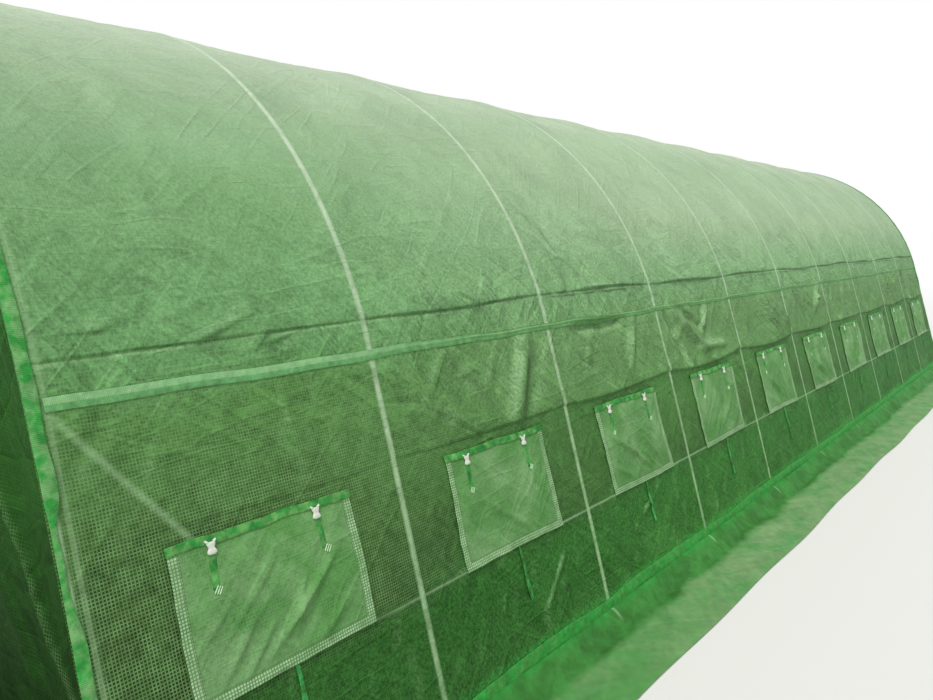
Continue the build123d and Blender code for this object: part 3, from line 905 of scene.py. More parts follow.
def laid_film(travel, distance, share, seed):
    """The height of film that lies on the ground: low uneven ripples and cross folds that never go under
    the ground, and die away to its outer edge. Share counts from 0 at the wall to 1 at that edge."""
    ripples = 0.0050 * (1 + waves(travel, distance * 2.2, 0.36, 5 + seed))
    ripples = ripples * np.clip(distance / 0.05, 0, 1)
    folded = np.clip(waves(travel + 0.5 * distance, distance * 0.3, 0.34, 7 + seed, 3), 0, 1)
    folded = 0.0060 * folded * np.clip(distance / 0.04, 0, 1)
    return 0.0022 + (1 - 0.75 * share ** 6) * (ripples + folded)


def outer_edge(travel, seed):
    """How far the skirt's outer edge wavers: two slow sines and their drift."""
    return 0.005 * np.sin(5.2 * travel + 2.1 + seed) + 0.004 * np.sin(2.3 * travel + seed) - 0.004


def side_skirt(left):
    """The skirt along a wall. It leaves the wall under the foot band, falls outward to the ground in a soft
    curve, a cosine from the band's height to nothing, with upright pleats, and then lies in ripples."""
    s = sizes()
    seed, step, far_step = (3, 0.05, 0.05) if left else (0, 0.020, 0.036)
    place = stations(step, far_step)[:, None]
    out = np.linspace(0, 1, 44)[None, :] ** 1.15
    ends = np.clip(np.minimum(place + 0.016, TUNNEL + 0.016 - place) / 0.10, 0, 1)
    width = s.skirt_width + outer_edge(place, seed) * out
    distance = out * width
    pleats = 0.009 * waves(place, distance * 0.4, 0.46, 21 + seed, 3)
    flare = s.skirt_flare * (1 + 0.28 * waves(place, 0 * place, 0.50, 22 + seed, 3))
    fall = np.clip(distance / flare, 0, 1)
    drop = 0.5 + 0.5 * np.cos(math.pi * fall ** 0.85)
    top = s.band_rise + 0.010
    laid = laid_film(place, distance, out, seed) * (0.25 + 0.75 * fall)
    height = top * math.cos(LEAN) * drop * ends + laid
    bulge = np.sin(math.pi * fall) * np.clip(pleats + 0.006, 0, 1) * ends
    y = -HALF_WIDTH + (top * math.sin(LEAN) - 0.004) * drop * ends - SEAT - distance - bulge
    shape = flipped(surface(stacked(FRONT + place, y, height + 0.3 * bulge), stacked(place, distance)))
    return turned_over(shape, 1) if left else shape


def front_skirt():
    """The strips in front of the end wall, one each side of the doorway, laid in ripples that start with a
    soft roll, a bell across the strip."""
    inner = DOOR_HIGH.y + SEAT
    y = np.linspace(-HALF_WIDTH, -inner, 42)[:, None]
    out = np.linspace(0, 1, 30)[None, :] ** 1.2
    distance = out * (sizes().skirt_width + outer_edge(y, 20.0) * out)
    height = laid_film(y + 20, distance, out, 5)
    roll = 0.012 * np.exp(-((distance - 0.040) / 0.024) ** 2) * (0.75 + 0.35 * waves(y, distance, 0.5, 6))
    points = stacked(-END - SEAT - distance, y, height + np.maximum(roll, 0))
    return both_sides(surface(points, stacked(y + 20, distance)))


# The end walls and doors

def end_lift(y, z):
    """How far an end wall's film bows in: upright soft folds that grow toward the ground, slow waves, and a
    tight fold that runs up and inward from each lower corner, pulled out of the wall."""
    drop = np.clip(1 - z / RIDGE, 0, 1)
    folds = 0.008 * waves(y, z * 0.12, 0.34, 11, 3) * (0.35 + 0.65 * drop)
    tight = ridge(np.abs(y), z, (1.96, 0.36), (1.10, 1.36), -0.020, 0.030)
    tight = tight + ridge(np.abs(y), z, (1.90, 0.10), (1.20, 0.95), -0.012, 0.035)
    return 0.010 + folds + 0.0035 * waves(y, z, 0.20, 12) + tight


def free_of_tubes(inset):
    """A share that lets an end wall's film bow in: hardly any over the tubes along its edges, all farther
    in."""
    return 0.10 + 0.90 * np.clip((inset - 0.052) / 0.06, 0, 1)


def end_edge():
    """The run and half width where the end wall's film meets the arch, from the ground up."""
    run = np.linspace(0.0, RIDGE_RUN, 400)
    y, z, out_y, out_z = arch(run)
    return -(y - out_y * 2 * SEAT), np.maximum(z - out_z * 2 * SEAT, 0)


def front_wall_side():
    """The right panel of the front wall: level rows from the doorway's edge to the arch."""
    door = DOOR_HIGH.y + SEAT
    y_edge, z_edge = end_edge()
    keep = y_edge >= door
    z = np.linspace(0, z_edge[keep].max(), 64)
    outer = np.interp(z, z_edge, y_edge)
    share = np.linspace(0, 1, 44)[None, :]
    y = door + share * np.maximum(outer - door, 0)[:, None]
    z = np.broadcast_to(z[:, None], y.shape)
    inset = np.minimum(np.minimum(y - door, outer[:, None] - y), z + 0.05)
    return surface(stacked(-END + end_lift(y, z) * free_of_tubes(inset), -y, z), stacked(y, z))


def front_wall_top():
    """The panel over the doorway: upright columns from the doorway's head to the arch."""
    y_edge, z_edge = end_edge()
    y = np.linspace(DOOR_LOW.y, DOOR_HIGH.y, 44)[:, None]
    top = np.interp(np.abs(y), y_edge[::-1], z_edge[::-1])
    share = np.linspace(0, 1, 24)[None, :]
    z = DOOR_LOW.z + share * (top - DOOR_LOW.z)
    inset = np.minimum(np.minimum(z - DOOR_LOW.z, top - z), DOOR_HIGH.y - np.abs(y))
    return surface(stacked(-END + end_lift(y, z) * free_of_tubes(inset), y, z), stacked(np.abs(y), z))


def back_door_sheet():
    """The closed door's film: a flat grid in the doorway with soft upright folds."""
    half = DOOR_HIGH.y
    y, z = np.linspace(-half, half, 50)[:, None], np.linspace(0.0, DOOR_LOW.z - SEAT, 70)[None, :]
    inset = np.minimum(half - np.abs(y), np.minimum(z + 0.05, DOOR_LOW.z - z))
    return surface(stacked(-END + end_lift(y, z + 0.4) * free_of_tubes(inset), y, z), stacked(y + 3, z))


def zip_tapes(closed):
    """The zip tapes down both sides of a doorway, and the slider's teeth line on a closed one."""
    shapes = []
    half = DOOR_HIGH.y + SEAT
    z = np.linspace(0.02, DOOR_LOW.z - 0.004, 60)
    for way in (-1, 1):
        path = stacked(-END - 0.0012, way * (half + 0.012 + 0.0015 * np.sin(4 * z + way)), z)
        shapes.append(ribbon(path, (0, 1, 0), 0.030, 0.0022))
        if closed:
            shapes.append(ribbon(path + [-0.0016, -way * 0.011, 0], (0, 1, 0), 0.006, 0.0026))
    return joined(shapes)


# The rolled up door: its turns, the radius of its open core and of the roll, and where the ribbons hold it
ROLL_TURNS, ROLL_CORE = 7.3, 0.022
ROLL_RADIUS = (ROLL_HIGH.z - ROLL_LOW.z) / 2 - 0.002
ROLL_MIDDLE = (ROLL_LOW + ROLL_HIGH) / 2
ROLL_TIES = (-0.40, 0.0, 0.40)


def rolled_sheet():
    """The front door's sheet, rolled up over the doorway: a spiral that grows by an even step each turn,
    carried across the doorway. It is nipped in where the ties hold it and hangs a little between them."""
    y = np.linspace(ROLL_LOW.y, ROLL_HIGH.y, 60)[:, None]
    share = np.linspace(0, 1, 260)[None, :]
    angle = 2 * math.pi * ROLL_TURNS * (share - 1) + 0.5 * math.pi
    nip = sum(np.exp(-((y - place) / 0.035) ** 2) for place in ROLL_TIES)
    radius = (ROLL_CORE + (ROLL_RADIUS - ROLL_CORE) * share) * (1 - 0.10 * nip * share)
    radius = radius * (1 + 0.018 * waves(y, angle * 0.05, 0.23, 14, 3) * share - 0.02 * share)
    drop = 0.0018 * (1 - nip) * np.sin(math.pi * (y - ROLL_LOW.y) / (ROLL_HIGH.y - ROLL_LOW.y))
    z = ROLL_MIDDLE.z + radius * np.sin(angle) - np.maximum(drop, 0)
    return surface(stacked(ROLL_MIDDLE.x + radius * np.cos(angle), y, z), stacked(y + 6, share * 1.85))


def roll_ties():
    """The ribbons that hold the roll: each leaves the wall over it, goes round under it and back up."""
    radius = (ROLL_HIGH.z - ROLL_LOW.z) / 2 * 0.92
    angle = np.linspace(0.60 * math.pi, -1.35 * math.pi, 46)
    x, z = ROLL_MIDDLE.x + radius * np.cos(angle), ROLL_MIDDLE.z + radius * np.sin(angle)
    return joined([ribbon(stacked(x, place, z), (0, 1, 0), 0.016, 0.0016) for place in ROLL_TIES])


# The steel frame

def hoop_tube(bay):
    """One hoop: a circle carried along the arch at the tubes' depth, with a flat foot iron under each leg."""
    s = sizes()
    depth = FILM + SEAT + s.hoop_tube / 2
    low = depth * math.tan(LEAN) + 0.0045
    near = np.concatenate([np.linspace(low, WAIST_RUN, 10), np.linspace(WAIST_RUN, RIDGE_RUN, 44)[1:]])
    hoop = tube(on_cover(bay * BAY, foot_to_foot(near), -depth), s.hoop_tube / 2 - 0.0001)
    y = -(HALF_WIDTH - 0.008 - np.array([0.090, 0.089, 0.045, 0.001, 0])[:, None])
    half = np.array([0.0094, 0.011, 0.011, 0.011, 0.0094])[:, None]
    across = squared(np.cos(angles(12, 0.5)), 0.3) * half
    up = 0.002 + 0.002 * squared(np.sin(angles(12, 0.5)), 0.3)
    iron = solid_rings(stacked(FRONT + bay * BAY + across, y, up), stacked(y, across))
    return joined([hoop, both_sides(iron)])


def purlin_tubes(run):
    """Straight tubes from hoop to hoop at one run. Each end is cut to a saddle: it reaches along the tunnel
    as far as the round of the hoop leaves it, by the circle's own equation."""
    s = sizes()
    radius, hoop = s.purlin_tube / 2, s.hoop_tube / 2
    depth = FILM + SEAT + radius
    angle = angles(16)
    lift = -depth + radius * np.sin(angle)
    from_middle = lift + FILM + SEAT + hoop
    saddle = np.sqrt(np.maximum(hoop ** 2 - from_middle ** 2, 0)) + SEAT
    steps = np.array([0, 0.03, 0.5, 0.97, 1])[:, None]
    y, z, out_y, out_z = arch(run)
    y = y + out_y * lift + out_z * radius * np.cos(angle)
    z = z + out_z * lift - out_y * radius * np.cos(angle)
    shapes = []
    for bay in range(BAYS):
        place = bay * BAY + saddle + steps * (BAY - 2 * saddle)
        shapes.append(solid_rings(stacked(FRONT + place, y, z), stacked(place, angle * radius)))
    return joined(shapes)


def brace_tube():
    """The diagonal tube in the first bay, from the front hoop's shoulder to the next hoop's foot."""
    s = sizes()
    depth = FILM + SEAT + s.hoop_tube + SEAT + s.purlin_tube / 2
    share = np.linspace(0, 1, 6)
    return tube(on_cover(share * BAY, BRACE_TOP - BRACE_DROP * share, -depth), s.purlin_tube / 2)


def door_frame_tubes():
    """Two posts from the ground to the hoop, and a head tube between them."""
    s = sizes()
    post = DOOR_HIGH.y + SEAT + s.hoop_tube / 2
    z = np.linspace(0.0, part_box("door_frame_front")[1].z - 0.004, 8)
    y = np.linspace(-post + s.hoop_tube / 2, post - s.hoop_tube / 2, 6)
    shapes = [tube(stacked(FRONT, side * post, z), s.hoop_tube / 2) for side in (-1, 1)]
    return joined([*shapes, tube(stacked(FRONT, y, DOOR_LOW.z + s.purlin_tube / 2), s.purlin_tube / 2)])


# Materials: the flat place of every piece comes in as UV, in metres

# A woven band's ribs and a net's yarns
RIB_PITCH, NET_PITCH = 0.0042, 0.0015
MATH, RANGE, MIX = "ShaderNodeMath", "ShaderNodeMapRange", "ShaderNodeMix"
NOISE, TONE, FACE = "ShaderNodeTexNoise", "ShaderNodeHueSaturation", "ShaderNodeBsdfPrincipled"


def add(tree, kind, inputs=(), **settings):
    """Add a node with its settings and its inputs, in order or by name: values, or sockets that are linked
    in. Gives its first output in use, or the node where it has none."""
    node = tree.nodes.new(kind)
    for name, value in settings.items():
        setattr(node, name, value)
    for key, value in (inputs if isinstance(inputs, dict) else dict(enumerate(inputs))).items():
        socket = node.inputs[key]
        if isinstance(value, bpy.types.NodeSocket):
            tree.links.new(value, socket)
        else:
            socket.default_value = (*value, 1.0) if socket.type == "RGBA" else value
    outputs = [socket for socket in node.outputs if socket.enabled]
    return outputs[0] if outputs else node


def new_material(name):
    """A node material whose tree is empty, and that tree."""
    material = bpy.data.materials.new(name)
    material.use_nodes = True
    material.node_tree.nodes.clear()
    return material, material.node_tree


def flat_place(tree, layer="flat_place"):
    """The sockets of a piece's two flat coordinates, in metres."""
    both = add(tree, "ShaderNodeSeparateXYZ", (add(tree, "ShaderNodeUVMap", uv_map=layer),)).node
    return both.outputs[0], both.outputs[1]


def cloudy(tree, size, low=0.3, high=0.7, to_low=0.0, to_high=1.0, detail=2.0):
    """Cloudy patches about size metres wide over the object, spread from two noise values to two others.
    Only wide patches are warped, because on small ones it can't be seen and costs render time."""
    place = add(tree, "ShaderNodeTexCoord").node.outputs["Object"]
    cloud = add(tree, NOISE, {
        "Vector": place, "Scale": 1 / size, "Detail": detail, "Roughness": 0.58,
        "Distortion": 0.5 if size > 0.1 else 0.0})
    return add(tree, RANGE, (cloud, low, high, to_low, to_high))


def line_at(tree, value, middle, half, soft):
    """1 where a value is within half a line's width of a middle, falling to 0 over the line's soft edge."""
    off = add(tree, MATH, (add(tree, MATH, (value, middle), operation="SUBTRACT"),), operation="ABSOLUTE")
    return add(tree, RANGE, (off, half, half + soft, 1.0, 0.0))


def lines_every(tree, value, pitch, half, soft):
    """1 on lines that repeat at a pitch, falling to 0 over their soft edges."""
    off = add(tree, MATH, (value, pitch / 2), operation="PINGPONG")
    return add(tree, RANGE, (off, half, half + soft, 1.0, 0.0))


def threads(tree, along, across):
    """1 on the reinforcing threads, 0 between them: lines at one pitch both ways, a fifth of it wide."""
    pitch = sizes().thread_pitch
    ways = [lines_every(tree, value, pitch, pitch * 0.10, pitch * 0.14) for value in (along, across)]
    return add(tree, MATH, ways, operation="MAXIMUM")


def layered(tree, paint, *layers):
    """A colour with others laid over it in turn: each layer is its colour and the shares, multiplied, by
    which it shows. A share is a number, a socket, or the inputs of a range that spreads a socket."""
    for over, *shares in layers:
        shares = [add(tree, RANGE, share) if isinstance(share, tuple) else share for share in shares]
        share = shares[0]
        for other in shares[1:]:
            share = add(tree, MATH, (share, other), operation="MULTIPLY")
        paint = add(tree, MIX, {0: share, 6: paint, 7: over}, data_type="RGBA")
    return paint


def creases(tree, turn, pitch, stretch, seed):
    """Long creases that run one way over the flat film: noise stretched along them. Its middle values are
    their crests, painted with a highlight, and the values just over those their sides, painted with a shadow.
    Gives crests and crests less sides."""
    place = add(tree, "ShaderNodeMapping", (
        add(tree, "ShaderNodeUVMap", uv_map="flat_place"), (seed * 1.7, seed * 2.3, 0), (0, 0, turn),
        (2.5 * pitch * stretch, 2.5 * pitch, 1)), vector_type="TEXTURE")
    cloud = add(tree, NOISE, {
        "Vector": place, "Scale": 1.0, "Detail": 2.0, "Roughness": 0.5})
    crest = line_at(tree, cloud, 0.50, 0.005, 0.040)
    side = line_at(tree, cloud, 0.56, 0.005, 0.045)
    return crest, add(tree, MATH, (crest, side), operation="SUBTRACT")


def shaded_film(tree, along, across, paint, shown, grain, creased):
    """The look of all the reinforced film: cloudy tone, a fine leathery grain, long creases two ways with a
    painted highlight on the crest and a painted shadow on the side, and pale threads. Gives the colour and the
    height in metres for its bump."""
    cloud = cloudy(tree, 0.40, to_low=0.92, to_high=1.08)
    fine = cloudy(tree, 0.010, to_low=-0.5, to_high=0.5, detail=3.0)
    tone = add(tree, MATH, (fine, grain, cloud), operation="MULTIPLY_ADD")
    height = add(tree, MATH, (fine, 0.0011), operation="MULTIPLY")
    some = cloudy(tree, 0.34, 0.40, 0.60)
    others = add(tree, MATH, (1.0, some), operation="SUBTRACT")
    # Each crease's tone paints a highlight on its crest and a shadow on its side; its crest also lifts the
    # bump
    for turn, pitch, stretch, seed, mask in (
            (-0.62, 0.050, 7.0, 1, some), (0.80, 0.045, 6.0, 2, others),
            (-0.95, 0.022, 5.0, 3, others), (0.10, 0.034, 6.0, 4, some)):
        crest, both = creases(tree, turn, pitch, stretch, seed)
        share = add(tree, MATH, (mask, creased), operation="MULTIPLY")
        tone = add(tree, MATH, (both, share, tone), operation="MULTIPLY_ADD")
        rise = add(tree, MATH, (mask, pitch * 0.05), operation="MULTIPLY")
        height = add(tree, MATH, (crest, rise, height), operation="MULTIPLY_ADD")
    paint = add(tree, TONE, {"Value": tone, "Color": paint})
    grid = threads(tree, along, across)
    paint = layered(tree, paint, (colours().thread, grid, shown, cloudy(tree, 0.03, to_low=0.4)))
    return paint, add(tree, MATH, (grid, 0.0004, height), operation="MULTIPLY_ADD")


def thin_sheet(tree, paint, height, rough, through, gloss=0.06):
    """A plastic sheet bumped by a height in metres: a coated face, and a share of light from behind it."""
    bump = add(tree, "ShaderNodeBump", {"Strength": 1.0, "Distance": 1.0, "Height": height})
    face = add(tree, FACE, {
        "Base Color": paint, "Roughness": rough, "IOR": 1.5, "Specular IOR Level": gloss, "Normal": bump})
    back = add(tree, "ShaderNodeBsdfTranslucent", {"Color": paint, "Normal": bump})
    add(tree, "ShaderNodeOutputMaterial", (add(tree, "ShaderNodeMixShader", (through, face, back)),))


def film_material():
    """Reinforced polyethylene film. The eye gets clear green film with painted shade toward the foot, where
    the soil lies behind it, and painted sky light toward the crown, painted light and shade on its folds and
    under its swells, pale threads, and pale lines where the film lies on a tube."""
    s, c = sizes(), colours()
    material, tree = new_material("reinforced_polyethylene_film")
    along, across = flat_place(tree)
    over_purlin, over_windows = flat_place(tree, "crease_place")
    wander = cloudy(tree, 0.33, to_low=-0.05, to_high=0.05)
    wavering = add(tree, MATH, (across, wander), operation="ADD")
    share = add(tree, MATH, (wavering, RIDGE_RUN), operation="DIVIDE")
    ramp = add(tree, "ShaderNodeValToRGB", (share,)).node
    # The ramp paints shade toward the foot and sky light toward the crown
    stops = ((0.0, c.film_foot), (0.43, c.film_low), (0.55, c.film_window), (1.22, c.film_waist),
             (1.32, c.film_shoulder), (1.85, c.film_upper), (2.75, c.film_crown))
    while len(ramp.color_ramp.elements) < len(stops):
        ramp.color_ramp.elements.new(0.5)
    for element, (run, paint) in zip(ramp.color_ramp.elements, stops):
        element.position = run / RIDGE_RUN
        element.color = (*paint, 1.0)

    # The folded band's colour bleeds a little into the film over it
    top = s.band_rise + s.band_width
    paint = layered(tree, ramp.outputs[0], (c.foot_band, (across, top, top + 0.035, 0.75, 0.0)))

    # The threads and the soil behind them show most from the sill to the waist of the first bay
    shown = add(tree, MATH, (
        add(tree, RANGE, (across, 0.44, 0.52, 0.15, 0.95)),
        add(tree, RANGE, (across, 0.95, 1.55, 1.0, 0.22))), operation="MULTIPLY")
    nearby = add(tree, RANGE, (along, 0.5, 1.5, 1.0, 0.35))
    shown = add(tree, MATH, (shown, nearby), operation="MULTIPLY")
    paint = layered(tree, paint, (
        c.soil_tint, (across, 0.46, 0.52, 0.0, 0.90), (across, 0.70, 1.28, 1.0, 0.0),
        (along, 0.5, 1.3, 1.0, 0.05), cloudy(tree, 0.12, to_low=0.4)))

    # Farther back the film is lighter with a painted sky sheen, on the roof and on the wall
    paint = layered(
        tree, paint,
        (c.film_far_sheen, (along, 0.8, 3.3, 0.0, 0.9), (along, 5.0, 9.5, 1.0, 0.7), (across, 1.40, 1.85),
         (across, 2.1, 2.75, 1.0, 0.15)),
        (c.film_far_sheen, (along, 0.7, 1.8, 0.0, 0.17), (across, 0.85, 1.15)),
        (c.flap, cloudy(tree, 0.30, 0.42, 0.66, detail=3.0), (across, 0.12, 0.34, 0.35, 0.0)))
    lighter = add(tree, MATH, (
        add(tree, RANGE, (along, 0.8, 2.6, 0.0, 0.47)), add(tree, RANGE, (across, 0.8, 1.1, 1.0, 0.0)), 1.0),
        operation="MULTIPLY_ADD")

    # Painted light and shade by the folds' slope: a fold that leans to the front or upward is painted lighter,
    # as if it passed more sky light, and one that leans away is painted darker
    for slope, most in zip(flat_place(tree, "slope"), (0.42, 0.30)):
        paint = layered(tree, paint, (c.contact_and_highlight, (slope, 0.06, 0.55, 0.0, most)))
        darker = add(tree, RANGE, (slope, -0.45, -0.06, -most, 0.0))
        lighter = add(tree, MATH, (lighter, darker), operation="ADD")
    paint = add(tree, TONE, {"Value": lighter, "Color": paint})

    # Painted shadow under the two swells, with a painted highlight on a pale lip below the upper one
    patchy = cloudy(tree, 0.13, 0.38, 0.60, 0.10)
    later = add(tree, RANGE, (along, 1.1, 2.1))
    paint = layered(
        tree, paint,
        (c.film_low, line_at(tree, over_purlin, 0.003, 0.001, 0.005), patchy, 0.60),
        (c.contact_and_highlight, line_at(tree, over_purlin, -0.006, 0.001, 0.006), patchy, 0.50),
        (c.film_low, (over_windows, -0.30, 0.0), line_at(tree, over_windows, -0.20, 0.19, 0.012), later, 0.62),
        (c.film_low, line_at(tree, over_windows, 0.001, 0.001, 0.006), later, patchy, 0.50))
    grain = add(tree, MATH, (add(tree, RANGE, (across, 0.45, 0.60, 0.22, 0.0)),
                             add(tree, RANGE, (across, 1.2, 2.0, 0.70, 0.20))), operation="ADD")
    # How strongly the creases' painted highlight and shadow show, by height up the cover
    creased = add(tree, MATH, (
        add(tree, RANGE, (across, 1.3, 1.9, 0.18, 0.04)), add(tree, RANGE, (across, 0.4, 0.5, 0.06, 0.0))),
        operation="SUBTRACT")
    paint, height = shaded_film(tree, along, across, paint, shown, grain, creased)

    # Pale soft lines where the film lies on the hoops, the sill purlins and the front brace
    half = TUNNEL / 2
    shares = (
        lines_every(tree, along, BAY, 0.0055, 0.0095), line_at(tree, along, half, half + 0.004, 0.001),
        cloudy(tree, 0.06, 0.30, 0.62, 0.45, detail=3.0), add(tree, RANGE, (across, 0.02, 0.08, 0.0, 0.98)))
    trimmed = [line_at(tree, along, place, 0.002, 0.009) for place in (0.030, TUNNEL - 0.030)]
    trimmed = add(tree, MATH, trimmed, operation="MAXIMUM")
    sill = line_at(tree, across, LOW_PURLIN_RUN - 0.004, 0.001, 0.006)
    slanted = add(tree, MATH, (along, 1.343 / BAY, across), operation="MULTIPLY_ADD")
    brace = line_at(tree, slanted, 1.282, 0.004, 0.020)
    seen = add(tree, MATH, (
        add(tree, RANGE, (along, 0.02, 0.05)),
        add(tree, RANGE, (along, 0.30, 0.42, 1.0, 0.0))), operation="MULTIPLY")
    hoop_paint = layered(tree, c.contact_and_highlight, (c.hoop_line, (across, 0.6, 2.2)))
    paint = layered(
        tree, paint, (c.contact_and_highlight, sill, (along, 0.7, 1.2, 0.15, 0.62)),
        (c.contact_and_highlight, brace, seen, 0.42), (c.contact_and_highlight, trimmed, 0.35), (hoop_paint, *shares))
    thin_sheet(tree, paint, height, cloudy(tree, 0.07, to_low=0.36, to_high=0.54), 0.30)
    return material


def end_film_material():
    """The same film at the ends, where the eye looks through it into the dark tunnel: dark green with painted
    shade, darkest near the ground, its threads pale and clear only on the tight fold that runs up from each
    lower corner."""
    c = colours()
    material, tree = new_material("reinforced_polyethylene_film_ends")
    along, across = flat_place(tree)
    # Painted shade, deepest near the ground
    paint = layered(tree, c.film_end_low, (c.film_end, (across, 0.3, 1.7)))
    slanted = add(tree, MATH, (along, 1.163, across), operation="MULTIPLY_ADD")
    shown = line_at(tree, slanted, 2.640, 0.010, 0.035)
    shown = add(tree, RANGE, (shown, 0.0, 1.0, 0.08, 0.45))
    paint, height = shaded_film(tree, along, across, paint, shown, 0.35, 0.20)
    thin_sheet(tree, paint, height, 0.5, 0.25, 0.01)
    return material


def flap_material():
    """The same film doubled by a hem on three sides. The eye gets lighter, yellower film than the wall, with
    pale cloudy patches, and in the hem the two grids cross into rows of pale squares."""
    s, c = sizes(), colours()
    material, tree = new_material("hemmed_polyethylene_film")
    along, across = flat_place(tree)
    off = add(tree, MATH, (add(tree, MATH, (along,), operation="ABSOLUTE"), -1.0, s.window_width / 2),
              operation="MULTIPLY_ADD")
    edge = add(tree, MATH, (off, across), operation="MINIMUM")
    paint = layered(tree, c.flap, (c.flap_pale, cloudy(tree, 0.20, 0.42, 0.64), 0.7))
    paint, height = shaded_film(tree, along, across, paint, 0.50, 0.32, 0.09)
    gaps = add(tree, MATH, (1.0, threads(tree, along, across)), operation="SUBTRACT")
    hem_paint = layered(tree, paint, (c.film_low, 0.30), (c.hem, gaps, cloudy(tree, 0.04, to_low=0.45)))
    paint = layered(
        tree, paint, (hem_paint, line_at(tree, edge, 0.0, s.hem_width, 0.001)),
        (c.film_window, line_at(tree, edge, s.hem_width, 0.0008, 0.0016), 0.5))
    thin_sheet(tree, paint, height, 0.42, 0.22)
    return material


def skirt_material():
    """Film lying on the soil. The eye gets clear green where it leaves the wall, painted shade in the hollow
    behind its fold, then an uneven border to film dulled by dust, with clean green patches farther out."""
    c = colours()
    material, tree = new_material("dusty_polyethylene_film")
    along, across = flat_place(tree)
    wander = cloudy(tree, 0.45, to_low=-0.040, to_high=0.020, detail=3.0)
    place = add(tree, MATH, (across, wander), operation="ADD")
    dust = layered(
        tree, c.skirt_inner, (c.skirt_outer, cloudy(tree, 0.17, 0.42, 0.66, detail=3.0)),
        (c.skirt_fold, (along, 1.3, 2.8, 1.0, 0.0), cloudy(tree, 0.24, 0.36, 0.56, 0.45, detail=3.0)))
    paint = layered(
        tree, c.skirt_fold, (c.foot_band, (across, 0.0, 0.025, 0.9, 0.0)),
        (c.film_window, cloudy(tree, 0.11, 0.46, 0.60, detail=3.0), 0.45),
        # Painted shade in the hollow behind the skirt's fold
        (c.film_low, line_at(tree, place, 0.060, 0.006, 0.024), cloudy(tree, 0.30, 0.42, 0.58, 0.0, 0.7)),
        (dust, (place, 0.066, 0.105)))
    tone = cloudy(tree, 0.030, to_low=0.88, to_high=1.10, detail=4.0)
    height = cloudy(tree, 0.028, to_low=0.0, to_high=0.0016, detail=4.0)
    # Painted highlight on the crease crests and painted shadow on their sides, with a bump
    for turn, pitch, seed in ((0.5, 0.09, 6), (-0.6, 0.07, 7)):
        crest, both = creases(tree, turn, pitch, 5.0, seed)
        tone = add(tree, MATH, (both, 0.06, tone), operation="MULTIPLY_ADD")
        height = add(tree, MATH, (crest, 0.0012, height), operation="MULTIPLY_ADD")
    paint = add(tree, TONE, {"Value": tone, "Color": paint})

    # The feet of the hoops show as pale stubs
    stub = lines_every(tree, along, BAY, 0.004, 0.007)
    paint = layered(
        tree, paint, (c.contact_and_highlight, threads(tree, along, across), (across, 0.08, 0.12, 0.0, 0.10)),
        (c.contact_and_highlight, stub, (across, 0.020, 0.040, 0.35, 0.0)))
    thin_sheet(tree, paint, height, 0.55, 0.10)
    return material


def woven_material(name, paint, mottle, tint=None, comb=None, far_shaded=None):
    """Woven polypropylene band. The eye gets a fine rib across it, light and dark mottling where it is
    puckered, and, where they are given: patches of a tint, a comb of stitches along the band's upper edge, and
    a darker colour behind the first bay, partly painted shadow of the bunched tape, with two pale lines."""
    material, tree = new_material(name)
    along, across = flat_place(tree)
    rib = lines_every(tree, along, RIB_PITCH, 0.0004, 0.0014)
    tone = cloudy(tree, 0.028, to_low=1 - mottle, to_high=1 + mottle, detail=4.0)
    tone = add(tree, MATH, (rib, 0.18, tone), operation="MULTIPLY_ADD")
    if tint is not None:
        paint = layered(tree, paint, (tint, cloudy(tree, 0.035, 0.42, 0.60)))
    # Darker behind the first bay, partly painted shadow of the bunched tape
    if far_shaded is not None:
        paint = layered(tree, paint, (far_shaded, (along, 0.8, 1.7, 0.0, 0.9), (across, -0.010, -0.004, 0.4, 1.0)))
    paint = add(tree, TONE, {"Value": tone, "Color": paint})
    if comb is not None:
        half = sizes().tape_width * 0.23
        paint = layered(tree, paint, (
            comb, line_at(tree, across, half, half, 0.0015), cloudy(tree, 0.03, to_low=0.4),
            (rib, 0.0, 1.0, 0.85, 0.35), (along, 0.8, 1.5, 1.0, 0.15)))
    if far_shaded is not None:
        for middle, share in ((0.0070, 0.65), (-0.0055, 0.25)):
            paint = layered(tree, paint, (
                comb, line_at(tree, across, middle, 0.0006, 0.0026),
                (along, 0.8, 1.5, 0.0, share), cloudy(tree, 0.05, to_low=0.4)))
    pucker = cloudy(tree, 0.018, to_low=0.0, to_high=0.0016)
    height = add(tree, MATH, (rib, 0.0004, pucker), operation="MULTIPLY_ADD")
    bump = add(tree, "ShaderNodeBump", {"Strength": 1.0, "Distance": 1.0, "Height": height})
    face = add(tree, FACE, {
        "Base Color": paint, "Roughness": 0.6, "IOR": 1.5, "Specular IOR Level": 0.1, "Normal": bump})
    add(tree, "ShaderNodeOutputMaterial", (face,))
    return material


def net_material():
    """Knitted polyethylene insect net: fine pale green yarn over dark holes."""
    c = colours()
    material, tree = new_material("knitted_insect_net")
    yarns = [lines_every(tree, value, NET_PITCH, 0.0002, 0.0003) for value in flat_place(tree)]
    paint = layered(tree, c.film_low, (c.thread, add(tree, MATH, yarns, operation="MAXIMUM")))
    add(tree, "ShaderNodeOutputMaterial", (
        add(tree, FACE, {"Base Color": paint, "Roughness": 0.7, "Specular IOR Level": 0.1}),))
    return material


def buckle_material():
    """Moulded acetal: a smooth white with a slight gloss and a faint soil haze."""
    c = colours()
    material, tree = new_material("moulded_acetal")
    paint = layered(tree, c.buckle, (c.buckle_haze, cloudy(tree, 0.008, 0.35, 0.75, 0.0, 0.35)))
    face = add(tree, FACE, {"Base Color": paint, "Roughness": 0.38, "IOR": 1.48, "Specular IOR Level": 0.5})
    add(tree, "ShaderNodeOutputMaterial", (face,))
    return material


